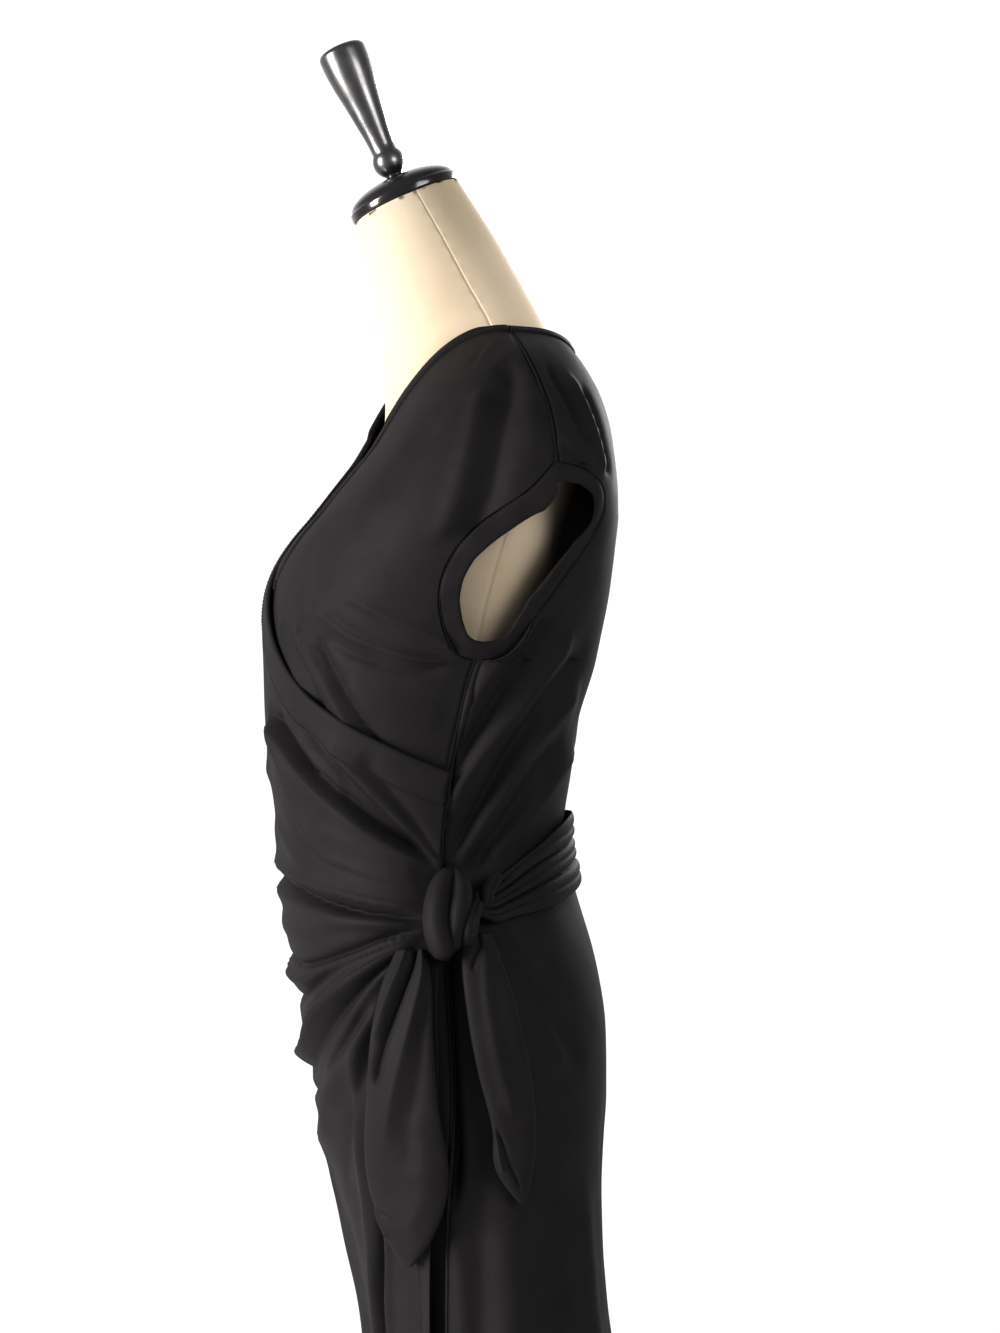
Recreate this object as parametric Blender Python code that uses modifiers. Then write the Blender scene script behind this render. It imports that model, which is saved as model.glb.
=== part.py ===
"""Surplice wrap dress on a limbless dress form. Metres, +Z up, the wearer faces -Y and the wearer's
left is +X. The origin is on the floor, under the middle of the stand's base.

The cloth and the form are both read from tables of rings. A ring is a closed curve round the body, named
by its level, the height of its widest points. Angle 0 on a ring is the centre front, 90 the wearer's left
side and 180 the centre back. Above the armpits the front and the back of a ring leave its level, so that
the rings climb over the shoulders to the neck, and the ring's widest points follow the shoulder seam.
"""

import math

import bmesh
import bpy
import numpy as np
from mathutils import Matrix

WALL = 0.0016  # the cloth's wall
GAP_ANGLE = 0.15  # degrees that each panel stops short of a seam
UNDER_SINK = 0.0045  # the under front drops this far where the over front hides it
OVER_LIFT = 0.0036  # the over front's inner face above the dress surface
TRIM_LIFT = 0.0030  # a band's inner face above the inner face of the panel it lies on

HEM_LEVEL = 0.40
WAIST_LEVEL = 1.00
CATCH_LEVEL = 1.100  # where the surplice edge is caught in the side seam
ARMPIT_LEVEL = 1.189
CAP_EDGE_LEVEL = 1.337  # the cap sleeve's edge, on the shoulder seam
NECK_LEVEL = 1.460
MEAN_RADIUS = 0.15  # turns an angle on a ring into a length

NECK_BAND_WIDTH = 0.010
WRAP_BAND_WIDTH = 0.026
LEFT_BAND_LEVEL = 1.290  # below this the over front hides the left front's binding
ARMHOLE_BAND_WIDTH = 0.0145
ARMHOLE_BAND_GAP = 0.0006  # from the panels' edges
ARMHOLE_SHARES = np.linspace(0, 1, 11)  # where the rows of a panel meet the armhole

CAP_CENTRE = (0.0, -0.030, 1.575)
CAP_TILT = math.radians(24.0)  # the neck cap and its finial lean forward
CAP_RADIUS = 0.0475
POLE_RADIUS = 0.014
BASE_RADIUS = 0.175
BASE_HEIGHT = 0.010
COLLAR_HEIGHT = 0.030
STAND_GAP = 0.0004

# level, half_width, side_y, front_y, back_y, front_z, back_z
DRESS_RINGS = (
    (0.400, 0.190, 0.050, -0.046, 0.148, 0.400, 0.400),
    (0.500, 0.188, 0.047, -0.048, 0.143, 0.500, 0.500),
    (0.620, 0.184, 0.041, -0.055, 0.135, 0.620, 0.620),
    (0.700, 0.182, 0.034, -0.071, 0.127, 0.700, 0.700),
    (0.760, 0.181, 0.026, -0.085, 0.126, 0.760, 0.760),
    (0.840, 0.180, 0.014, -0.103, 0.130, 0.840, 0.840),
    (0.900, 0.175, 0.006, -0.113, 0.130, 0.900, 0.900),
    (0.950, 0.165, 0.000, -0.122, 0.121, 0.950, 0.950),
    (1.000, 0.149, -0.010, -0.128, 0.107, 1.000, 1.000),
    (1.040, 0.140, -0.016, -0.131, 0.098, 1.040, 1.040),
    (1.090, 0.140, -0.015, -0.138, 0.104, 1.090, 1.090),
    (1.140, 0.150, -0.009, -0.142, 0.111, 1.140, 1.140),
    (1.189, 0.165, -0.002, -0.144, 0.124, 1.189, 1.189),
    (1.225, 0.180, 0.010, -0.144, 0.130, 1.222, 1.226),
    (1.265, 0.195, 0.028, -0.139, 0.133, 1.254, 1.267),
    (1.318, 0.212, 0.048, -0.121, 0.133, 1.288, 1.322),
    (1.345, 0.209, 0.048, -0.108, 0.130, 1.304, 1.350),
    (1.378, 0.195, 0.046, -0.093, 0.126, 1.323, 1.380),
    (1.406, 0.171, 0.042, -0.079, 0.121, 1.340, 1.405),
    (1.434, 0.130, 0.040, -0.067, 0.114, 1.354, 1.430),
    (1.460, 0.067, 0.043, -0.059, 0.107, 1.366, 1.453),
)
FORM_RINGS = (
    (0.800, 0.158, 0.014, -0.082, 0.116, 0.800, 0.800),
    (0.860, 0.163, 0.010, -0.092, 0.120, 0.860, 0.860),
    (0.930, 0.152, 0.000, -0.104, 0.110, 0.930, 0.930),
    (1.000, 0.130, -0.010, -0.108, 0.094, 1.000, 1.000),
    (1.040, 0.122, -0.015, -0.109, 0.087, 1.040, 1.040),
    (1.100, 0.126, -0.012, -0.118, 0.093, 1.100, 1.100),
    (1.160, 0.140, -0.006, -0.130, 0.104, 1.160, 1.160),
    (1.200, 0.150, 0.000, -0.134, 0.098, 1.198, 1.200),
    (1.240, 0.158, 0.008, -0.131, 0.088, 1.232, 1.240),
    (1.280, 0.166, 0.018, -0.119, 0.090, 1.258, 1.280),
    (1.320, 0.172, 0.030, -0.100, 0.099, 1.280, 1.320),
    (1.355, 0.172, 0.039, -0.086, 0.107, 1.300, 1.352),
    (1.385, 0.163, 0.042, -0.076, 0.110, 1.318, 1.382),
    (1.410, 0.140, 0.041, -0.067, 0.109, 1.334, 1.408),
    (1.430, 0.104, 0.040, -0.056, 0.104, 1.350, 1.429),
    (1.448, 0.067, 0.036, -0.048, 0.095, 1.378, 1.449),
    (1.470, 0.057, 0.028, -0.047, 0.086, 1.425, 1.473),
    (1.500, 0.051, 0.012, -0.052, 0.068, 1.484, 1.506),
    (1.530, 0.0485, -0.004, -0.060, 0.048, 1.516, 1.540),
    (1.5755, 0.0460, -0.0300, -0.0725, 0.0125, 1.5575, 1.5935),
)
SQUARENESS = 0.87  # below 1 a ring's corners are fuller than an ellipse's

# The left side seam, the over front's free edge and the armhole: angles on the rings' levels.
SIDE_SEAM = ((0.400, 50), (0.620, 52), (0.750, 64), (0.850, 75), (0.950, 81), (1.030, 86), (1.189, 90))
FREE_EDGE = ((0.400, 46), (0.620, 48), (0.750, 60), (0.850, 71), (0.950, 78), (1.000, 84))
ARMHOLE_FRONT = (
    (1.189, 90), (1.191, 87.5), (1.196, 84.5), (1.205, 81.5), (1.217, 78.6), (1.234, 75.5), (1.252, 73.8),
    (1.268, 74), (1.284, 76.3), (1.300, 80.5), (1.318, 86), (1.337, 90),
)
ARMHOLE_BACK = (
    (1.189, 90), (1.1895, 93.5), (1.194, 97), (1.204, 99.6), (1.222, 102.3), (1.250, 107), (1.279, 114),
    (1.300, 118.5), (1.318, 115), (1.331, 104), (1.337, 90),
)
# The over front's surplice edge, from the left side seam to the neck point on the right shoulder.
SURPLICE = (
    (1.100, 90), (1.120, 70.5), (1.141, 51), (1.166, 32), (1.188, 20), (1.203, 13.5), (1.240, 4),
    (1.282, 0), (1.323, -1.5), (1.384, -5), (1.425, -11), (1.448, -20), (1.4575, -35), (1.459, -52),
    (1.4595, -70), (1.460, -90),
)
# Each fold: height, width, places as (level, angle)
OVER_FRONT_FOLDS = (
    (-0.0050, 0.012, ((1.147, 5), (1.117, 28), (1.081, 52), (1.046, 76), (1.030, 88))),
    (0.0045, 0.013, ((1.120, -20), (1.122, 6), (1.093, 30), (1.057, 54), (1.027, 80))),
    (-0.0035, 0.010, ((1.022, -25), (1.014, 22), (0.996, 54), (0.990, 80))),
    (0.0040, 0.010, ((0.990, -40), (0.975, -8), (0.981, 33), (0.989, 75))),
    (-0.0040, 0.009, ((0.948, -45), (0.940, -8), (0.958, 38), (0.980, 75))),
    (0.0050, 0.010, ((0.925, -45), (0.915, -9), (0.944, 33), (0.976, 72))),
    (-0.0050, 0.010, ((0.893, -45), (0.892, -6), (0.930, 33), (0.972, 72))),
    (0.0080, 0.012, ((0.855, -45), (0.860, -8), (0.908, 26), (0.966, 68))),
    (0.0050, 0.016, ((0.790, -30), (0.796, 0), (0.860, 30), (0.935, 58))),
    (-0.0060, 0.010, ((0.800, 38), (0.740, 34), (0.650, 22), (0.520, 17), (0.395, 16))),
)
BACK_FOLDS = (
    (0.0050, 0.016, ((1.020, 88), (1.060, 98), (1.110, 112), (1.160, 132), (1.200, 150))),
    (0.0045, 0.015, ((1.070, 87), (1.110, 94), (1.150, 107), (1.200, 122))),
    (-0.0040, 0.013, ((1.090, 88), (1.132, 94), (1.170, 101), (1.215, 110))),
    (0.0050, 0.016, ((1.020, -88), (1.060, -98), (1.110, -112), (1.160, -132), (1.200, -150))),
    (-0.0040, 0.015, ((1.090, -88), (1.132, -94), (1.170, -101), (1.215, -110))),
)
UNDER_FRONT_FOLDS = (
    (0.0035, 0.010, ((1.190, 87), (1.207, 72), (1.225, 50), (1.240, 34))),
    (-0.0030, 0.012, ((1.180, 80), (1.185, 60), (1.205, 42))),
    (-0.0050, 0.016, ((1.410, 85), (1.370, 79), (1.335, 76), (1.290, 77))),
)

# Loose pieces hang along the dress surface: each row gives the strip's two edges at a level.
# share down, level, left_angle, right_angle, lift
FRONT_TAIL = (
    (0.00, 0.958, 65.0, 74.5, 0.008),
    (0.10, 0.940, 60.0, 75.5, 0.014),
    (0.22, 0.905, 54.0, 74.0, 0.017),
    (0.40, 0.855, 48.5, 72.5, 0.018),
    (0.62, 0.800, 42.5, 72.0, 0.018),
    (0.80, 0.765, 43.0, 66.5, 0.016),
    (0.93, 0.742, 46.0, 59.0, 0.014),
    (1.00, 0.729, 49.5, 52.5, 0.013),
)
BACK_TAIL = (
    (0.00, 0.966, 87.0, 92.5, 0.014),
    (0.12, 0.948, 85.0, 95.0, 0.016),
    (0.30, 0.915, 84.5, 97.0, 0.017),
    (0.50, 0.880, 85.0, 98.0, 0.016),
    (0.75, 0.835, 86.5, 98.0, 0.014),
    (0.90, 0.805, 86.5, 95.5, 0.012),
    (1.00, 0.781, 90.0, 92.0, 0.011),
)
# angle, top_level, bottom_level, lift
BACK_TIE = (
    (95, 1.005, 0.984, 0.012),
    (103, 1.018, 0.988, 0.008),
    (120, 1.037, 0.993, 0.007),
    (150, 1.060, 1.003, 0.007),
    (180, 1.060, 1.003, 0.007),
    (215, 1.050, 0.998, 0.007),
    (250, 1.036, 0.988, 0.007),
    (272, 1.030, 0.984, 0.005),
)


def smooth_columns(table, at):
    """Each column of a table at the values 'at' of its first column, through cubic curves."""
    rows = np.array(table, float)
    knots = rows[:, 0]
    slopes = np.gradient(rows, knots, axis=0)
    place = np.clip(np.searchsorted(knots, at) - 1, 0, len(knots) - 2)
    span = (knots[place + 1] - knots[place])[..., None]
    t = np.clip((np.asarray(at) - knots[place])[..., None] / span, 0, 1)
    low, high = rows[place], rows[place + 1]
    rise_low, rise_high = slopes[place] * span, slopes[place + 1] * span
    return (
        low * (2 * t**3 - 3 * t**2 + 1)
        + rise_low * (t**3 - 2 * t**2 + t)
        + high * (3 * t**2 - 2 * t**3)
        + rise_high * (t**3 - t**2)
    )


def ring_points(table, angle, level):
    """Points on the surface through a table's rings. angle in degrees, level in metres, as arrays."""
    _, half_width, side_y, front_y, back_y, front_z, back_z = np.moveaxis(
        smooth_columns(table, np.asarray(level, float)), -1, 0
    )
    turn = np.radians(angle)
    ahead = np.cos(turn)
    across = np.sin(turn)
    reach = np.abs(ahead) ** SQUARENESS
    is_front = ahead > 0
    x = half_width * np.sign(across) * np.abs(across) ** SQUARENESS
    y = side_y + reach * np.where(is_front, front_y - side_y, back_y - side_y)
    z = level + ahead**2 * np.where(is_front, front_z - level, back_z - level)
    return np.stack([x, y, z], axis=-1)


def ring_normals(table, angle, level):
    """Outward unit normals of the surface through a table's rings."""
    step_angle, step_level = 0.5, 0.002
    low, high = np.maximum(level - step_level, table[0][0]), np.minimum(level + step_level, table[-1][0])
    round_way = ring_points(table, angle + step_angle, level) - ring_points(table, angle - step_angle, level)
    up_way = ring_points(table, angle, high) - ring_points(table, angle, low)
    normal = np.cross(round_way, up_way)
    return normal / np.linalg.norm(normal, axis=-1, keepdims=True)


def path_points(path, shares):
    """(angle, level) at shares of the length of a path given as (level, angle) rows."""
    rows = np.array(path, float)
    steps = np.hypot(np.diff(rows[:, 0]), MEAN_RADIUS * np.radians(np.diff(rows[:, 1])))
    lengths = np.concatenate([[0.0], np.cumsum(steps)])
    table = np.column_stack([lengths / lengths[-1], rows[:, 1], rows[:, 0]])
    return smooth_columns(table, np.asarray(shares, float))[:, 1:]


def rows_by_level(path, levels):
    """(angle, level) where a path given as (level, angle) rows passes each level."""
    return smooth_columns(path, np.asarray(levels, float))[:, ::-1]


def fold_lift(folds, angle, level):
    """How far a table's folds move the cloth out, as round ridges and troughs that fade at both ends."""
    lift = np.zeros(np.broadcast(angle, level).shape)
    for height, width, places in folds:
        bends = path_points(places, np.linspace(0, 1, 25))
        route = np.column_stack([MEAN_RADIUS * np.radians(bends[:, 0]), bends[:, 1]])
        place = np.stack([MEAN_RADIUS * np.radians(angle), level + 0 * angle], axis=-1)[..., None, :]
        apart = np.linalg.norm(place - route, axis=-1)
        nearest = apart.argmin(axis=-1)
        share = nearest / (len(route) - 1)
        fade = np.minimum(1, np.minimum(share, 1 - share) * 4 + 0.15)
        lift += height * fade * np.exp(-((apart.min(axis=-1) / width) ** 2))
    return lift


def soft_step(value):
    value = np.clip(value, 0, 1)
    return value * value * (3 - 2 * value)


def below_surplice(angle, level):
    """How far a place on the left front is below the over front's edge, in metres."""
    rows = np.array(SURPLICE, float)
    order = np.argsort(rows[:, 1])
    return np.interp(angle, rows[order, 1], rows[order, 0]) - level


def under_front_lift(angle, level):
    sink = UNDER_SINK * soft_step((below_surplice(angle, level) - 0.004) / 0.020)
    return fold_lift(UNDER_FRONT_FOLDS, angle, level) * (1 - sink / UNDER_SINK) - sink


def over_front_lift(angle, level):
    """The over front lies on the under front, and comes down to meet the back at its own side seam."""
    seam = rows_by_level(SIDE_SEAM, np.clip(level, HEM_LEVEL, ARMPIT_LEVEL))[..., 0]
    from_seam = np.where(level > ARMPIT_LEVEL, 99.0, angle + seam)
    rise = soft_step(from_seam / 6.0)
    on_chest = soft_step((level - 1.25) / 0.08)
    return OVER_LIFT * rise * (1 - 0.8 * on_chest) + fold_lift(OVER_FRONT_FOLDS, angle, level) * rise


def back_lift(angle, level):
    return fold_lift(BACK_FOLDS, np.where(angle > 180, angle - 360, angle), level)


# ---- building


def new_material(name, colour, roughness, metallic=0.0):
    material = bpy.data.materials.new(name)
    material.use_nodes = True
    shader = material.node_tree.nodes["Principled BSDF"]
    shader.inputs["Base Color"].default_value = (*colour, 1.0)
    shader.inputs["Roughness"].default_value = roughness
    shader.inputs["Metallic"].default_value = metallic
    material.diffuse_color = (*colour, 1.0)
    return material


def new_object(name, mesh_maker, material, parts):
    mesh = bpy.data.meshes.new(name)
    mesh_maker.normal_update()
    mesh_maker.to_mesh(mesh)
    mesh_maker.free()
    mesh.materials.append(material)
    mesh.shade_smooth()
    obj = bpy.data.objects.new(name, mesh)
    parts.objects.link(obj)
    return obj


def sheet(name, points, material, parts, wall=WALL):
    """A cloth wall whose inner face passes through a grid of points, rows up and columns round."""
    row_count, column_count = points.shape[:2]
    mesh = bmesh.new()
    bmesh.ops.create_grid(mesh, x_segments=column_count - 1, y_segments=row_count - 1, size=1.0)
    mesh.verts.ensure_lookup_table()
    for index, place in enumerate(points.reshape(-1, 3)):
        mesh.verts[index].co = place
    obj = new_object(name, mesh, material, parts)
    solidify = obj.modifiers.new("wall", "SOLIDIFY")
    solidify.thickness = wall
    solidify.offset = 1.0
    return obj


def lifted(angle, level, lift):
    return ring_points(DRESS_RINGS, angle, level) + ring_normals(DRESS_RINGS, angle, level) * lift[..., None]


def ruled(starts, ends, shares):
    """Rows of (angle, level) between two lists of row ends."""
    grid = starts[:, None, :] + (ends - starts)[:, None, :] * np.asarray(shares)[None, :, None]
    return grid[..., 0], grid[..., 1]


def front_grid(low_rows, catch_rows, columns):
    """The over front's rows, from its right edge to its surplice edge, as angles and levels.

    The rows are level up to where the surplice edge leaves the left side seam. Then they fan out from
    the side seam and the armhole to the surplice edge, and the last one is the shoulder seam.
    """
    levels = np.concatenate([
        np.linspace(HEM_LEVEL, 0.80, low_rows, endpoint=False),
        np.linspace(0.80, 1.03, 2 * low_rows, endpoint=False),
        np.linspace(1.03, CATCH_LEVEL, catch_rows),
    ])
    seam = rows_by_level(SIDE_SEAM, levels)
    free = np.where((levels < WAIST_LEVEL)[:, None], rows_by_level(FREE_EDGE, levels), seam)
    rise = np.linspace(CATCH_LEVEL, ARMPIT_LEVEL, catch_rows + 1)[1:]
    side = np.concatenate([
        seam, rows_by_level(SIDE_SEAM, rise), path_points(ARMHOLE_FRONT, ARMHOLE_SHARES[1:])
    ])
    fanned = len(side) - len(levels)
    edge = np.concatenate([free, path_points(SURPLICE, np.linspace(0, 1, fanned + 1)[1:])])
    side[:, 0] = GAP_ANGLE - side[:, 0]
    side[-1, 1] = CAP_EDGE_LEVEL
    edge[-1, 0] += GAP_ANGLE
    return ruled(side, edge, np.linspace(0, 1, columns) ** 0.85)


def back_grid(seam_rows, shoulder_rows, columns):
    """The back's rows, level from the left edge round to the right edge."""
    rise = np.linspace(HEM_LEVEL, ARMPIT_LEVEL, seam_rows)
    side = np.concatenate([
        rows_by_level(SIDE_SEAM, rise),
        path_points(ARMHOLE_BACK, ARMHOLE_SHARES[1:]),
        np.column_stack([
            np.full(shoulder_rows, 90.0), np.linspace(CAP_EDGE_LEVEL, NECK_LEVEL, shoulder_rows + 1)[1:]
        ]),
    ])
    left = side + [GAP_ANGLE, 0]
    right = np.column_stack([360 - left[:, 0], left[:, 1]])
    return ruled(left, right, np.linspace(0, 1, columns))


def slide(angle, level, move):
    """Where a small move in space, along the cloth, leads from (angle, level)."""
    low, high = np.maximum(level - 0.002, HEM_LEVEL), np.minimum(level + 0.002, NECK_LEVEL)
    round_way = ring_points(DRESS_RINGS, angle + 0.5, level) - ring_points(DRESS_RINGS, angle - 0.5, level)
    up_way = ring_points(DRESS_RINGS, angle, high) - ring_points(DRESS_RINGS, angle, low)
    up_way /= (high - low)[..., None]
    rr, ru, uu = (round_way**2).sum(-1), (round_way * up_way).sum(-1), (up_way**2).sum(-1)
    rm, um = (round_way * move).sum(-1), (up_way * move).sum(-1)
    det = rr * uu - ru * ru
    return angle + (rm * uu - um * ru) / det, level + (um * rr - rm * ru) / det


def edge_strip(edge, width, side):
    """A path of (angle, level) rows and its copy moved sideways on the cloth by a width for each row.

    side is 1 for a move to the right of the path's way, seen from outside, and -1 for the left.
    """
    angle, level = edge[:, 0], edge[:, 1]
    along = np.gradient(ring_points(DRESS_RINGS, angle, level), axis=0)
    across = np.cross(along, ring_normals(DRESS_RINGS, angle, level)) * side
    across *= (width / np.linalg.norm(across, axis=1))[:, None]
    return np.stack([edge, np.column_stack(slide(angle, level, across))], axis=1)


# ---- the dress


def make_fronts(cloth, parts):
    angle, level = front_grid(7, 5, 21)
    over = lifted(angle, level, over_front_lift(angle, level))
    sheet("right_front", over, cloth, parts)
    angle, level = front_grid(5, 4, 13)
    angle = -angle[:, ::-1]
    level = level[:, ::-1]
    under = lifted(angle, level, under_front_lift(angle, level))
    sheet("left_front", under, cloth, parts)


def make_back(cloth, parts):
    angle, level = back_grid(17, 6, 15)
    sheet("back", lifted(angle, level, back_lift(angle, level)), cloth, parts)


def make_neck_bands(cloth, parts):
    """A binding on each surplice edge, wider where the wrap is, and one round the back of the neck."""
    shares = np.linspace(0, 0.992, 34)
    edge = path_points(SURPLICE, shares)
    width = NECK_BAND_WIDTH + (WRAP_BAND_WIDTH - NECK_BAND_WIDTH) * soft_step((0.62 - shares) / 0.2)
    strip = edge_strip(edge, width, -1)
    for name, mirror, lift in (
        ("right_front_band", 1, over_front_lift),
        ("left_front_band", -1, under_front_lift),
    ):
        place = strip[:, ::-1] if mirror == 1 else strip[edge[:, 1] > LEFT_BAND_LEVEL] * [-1, 1]
        grid = lifted(place[..., 0], place[..., 1], lift(place[..., 0], place[..., 1]) + TRIM_LIFT)
        sheet(name, grid, cloth, parts)
    angles = np.linspace(91, 269, 17)
    edge = np.column_stack([angles, np.full(len(angles), NECK_LEVEL)])
    strip = edge_strip(edge, np.full(len(angles), NECK_BAND_WIDTH), 1)[:, ::-1].transpose(1, 0, 2)
    lift = back_lift(strip[..., 0], strip[..., 1]) + TRIM_LIFT
    sheet("back_neck_band", lifted(strip[..., 0], strip[..., 1], lift), cloth, parts)


def armhole_loop():
    """The armhole's edge, up its front and down its back."""
    front = path_points(ARMHOLE_FRONT, ARMHOLE_SHARES[:-1])
    back = path_points(ARMHOLE_BACK, ARMHOLE_SHARES[:0:-1])
    return np.concatenate([front, back])


def moved_in(loop, width):
    """A closed path of (angle, level) rows moved in by a width, toward its middle."""
    points = ring_points(DRESS_RINGS, loop[:, 0], loop[:, 1])
    inward = points.mean(axis=0) - points
    reach = np.linalg.norm(inward, axis=1)
    along = np.roll(points, -1, axis=0) - np.roll(points, 1, axis=0)
    squareness = np.linalg.norm(np.cross(along, inward), axis=1) / np.linalg.norm(along, axis=1) / reach
    share = width / (reach * np.clip(squareness, 0.6, 1.0))
    return loop + (loop.mean(axis=0) - loop) * share[:, None]


def make_armhole_bands(cloth, parts):
    edge = armhole_loop()
    rings = [moved_in(edge, ARMHOLE_BAND_GAP + width) for width in (0, ARMHOLE_BAND_WIDTH)]
    loop = np.stack([np.concatenate([ring, ring[:1]]) for ring in rings])
    for name, mirror in (("left_armhole_band", 1), ("right_armhole_band", -1)):
        place = loop * [mirror, 1]
        if mirror == -1:
            place = place[:, ::-1]
        grid = lifted(place[..., 0], place[..., 1], np.zeros(place.shape[:2]))
        obj = sheet(name, grid, cloth, parts)
        weld_ends(obj)


def weld_ends(obj):
    """Joins the two ends of a loop of cloth."""
    mesh = bmesh.new()
    mesh.from_mesh(obj.data)
    bmesh.ops.remove_doubles(mesh, verts=mesh.verts, dist=1e-6)
    mesh.to_mesh(obj.data)
    mesh.free()


def make_tie(cloth, parts):
    angles = np.linspace(BACK_TIE[0][0], BACK_TIE[-1][0], 33)
    _, top, bottom, lift = np.moveaxis(smooth_columns(BACK_TIE, angles), -1, 0)
    across = np.linspace(0, 1, 6)[:, None]
    level = bottom + (top - bottom) * across
    pleats = 0.0016 * np.cos(across * 4 * math.pi)
    angle = np.broadcast_to(angles, level.shape)
    back = back_lift(angle, level)
    sheet("back_tie", lifted(angle, level, back + lift + pleats), cloth, parts)


def make_tails(cloth, parts):
    for name, table, rows in (("front_tail", FRONT_TAIL, 17), ("back_tail", BACK_TAIL, 15)):
        _, level, left, right, lift = np.moveaxis(smooth_columns(table, np.linspace(1, 0, rows)), -1, 0)
        across = np.linspace(0, 1, 6)
        angle = left[:, None] + (right - left)[:, None] * across
        crown = 0.004 * np.sin(math.pi * across)
        sheet(name, lifted(angle, level[:, None] + 0 * angle, lift[:, None] + crown), cloth, parts)


def make_knot(cloth, parts):
    """The knot's outer loop, with the groove between its folds, and the tie's end that it holds."""
    for name, angle, level, lift, size, lean, groove in (
        ("knot_loop", 83.0, 0.992, 0.0225, (0.0125, 0.0185, 0.040), -16.0, 0.0045),
        ("knot_end", 93.5, 0.986, 0.0235, (0.0085, 0.0085, 0.019), 12.0, 0.0),
    ):
        place = lifted(np.array([angle]), np.array([level]), np.array([lift]))[0]
        way = ring_normals(DRESS_RINGS, np.array([angle]), np.array([level]))[0]
        mesh = bmesh.new()
        bmesh.ops.create_uvsphere(mesh, u_segments=16, v_segments=10, radius=1.0)
        for vert in mesh.verts:
            pinch = 1 - groove / size[0] * math.exp(-((vert.co.y / 0.28) ** 2)) * max(0, vert.co.x)
            vert.co.x *= pinch
        turn = Matrix.Rotation(math.atan2(way[1], way[0]), 4, "Z")
        tilt = Matrix.Rotation(math.radians(lean), 4, "X")
        scale = Matrix.Diagonal((*size, 1.0))
        bmesh.ops.transform(mesh, matrix=Matrix.Translation(place) @ turn @ tilt @ scale, verts=mesh.verts)
        new_object(name, mesh, cloth, parts)


# ---- the dress form


def make_torso(cover, parts):
    """The covered torso and neck, closed below, and cut above on the neck cap's slope."""
    levels = np.concatenate([
        np.linspace(FORM_RINGS[0][0], 1.34, 15, endpoint=False), np.linspace(1.34, FORM_RINGS[-1][0] + 0.03, 17)
    ])
    turns = np.linspace(0, 360, 29)
    angle, level = np.meshgrid(turns, levels)
    top = FORM_RINGS[-1][0]
    points = ring_points(FORM_RINGS, angle, np.minimum(level, top))
    lean = np.array([0, -math.sin(CAP_TILT), math.cos(CAP_TILT)])
    points += np.maximum(level - top, 0)[..., None] * lean
    mesh = bmesh.new()
    bmesh.ops.create_grid(mesh, x_segments=len(turns) - 1, y_segments=len(levels) - 1, size=1.0)
    mesh.verts.ensure_lookup_table()
    for index, place in enumerate(points.reshape(-1, 3)):
        mesh.verts[index].co = place
    bmesh.ops.remove_doubles(mesh, verts=mesh.verts, dist=1e-6)
    cut = np.array(CAP_CENTRE) - lean * STAND_GAP
    bmesh.ops.bisect_plane(
        mesh, geom=mesh.verts[:] + mesh.edges[:] + mesh.faces[:], plane_co=cut, plane_no=lean, clear_outer=True
    )
    bmesh.ops.holes_fill(mesh, edges=[edge for edge in mesh.edges if edge.is_boundary])
    new_object("form_torso", mesh, cover, parts)


def turned(name, profile, place, lean, material, parts, steps=32):
    """A turned piece: its profile runs down its outer side, as (radius, height) from its foot."""
    mesh = bmesh.new()
    verts = [mesh.verts.new((radius, 0, height)) for radius, height in profile]
    for first, second in zip(verts, verts[1:]):
        mesh.edges.new((first, second))
    obj = new_object(name, mesh, material, parts)
    obj.location = place
    obj.rotation_euler = (lean, 0, 0)
    screw = obj.modifiers.new("turn", "SCREW")
    screw.steps = screw.render_steps = steps
    screw.use_merge_vertices = True
    screw.merge_threshold = 0.00001
    return obj


def make_neck_cap(lacquer, parts):
    """The domed cap on the neck and, on the same leaning axis, the finial's ball and flared handle."""
    rim, dome = 0.007, 0.015
    profile = [(0.0, rim + dome)]
    for step in range(1, 7):
        turn = math.radians(90 * step / 6)
        profile.append((CAP_RADIUS * 0.97 * math.sin(turn), rim + dome * math.cos(turn)))
    profile += [(CAP_RADIUS, rim - 0.001), (CAP_RADIUS, 0.001), (CAP_RADIUS - 0.001, 0.0), (0.0, 0.0)]
    turned("neck_cap", profile, CAP_CENTRE, CAP_TILT, lacquer, parts)
    foot = rim + dome + STAND_GAP
    handle = (
        (0.0, 0.1377), (0.012, 0.1372), (0.0178, 0.1348), (0.0200, 0.1296), (0.0199, 0.1239),
        (0.0183, 0.1077), (0.0155, 0.0906), (0.0131, 0.0735), (0.0110, 0.0583), (0.0103, 0.0498),
    )
    ball_middle, ball_radius = 0.0360, 0.0133
    ball = [
        (ball_radius * math.sin(math.radians(turn)), ball_middle + ball_radius * math.cos(math.radians(turn)))
        for turn in (30, 60, 90, 120, 146)
    ]
    base = ((0.0072, foot + 0.0005), (0.0068, foot), (0.0, foot))
    turned("finial", (*handle, *ball, *base), CAP_CENTRE, CAP_TILT, lacquer, parts)


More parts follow.
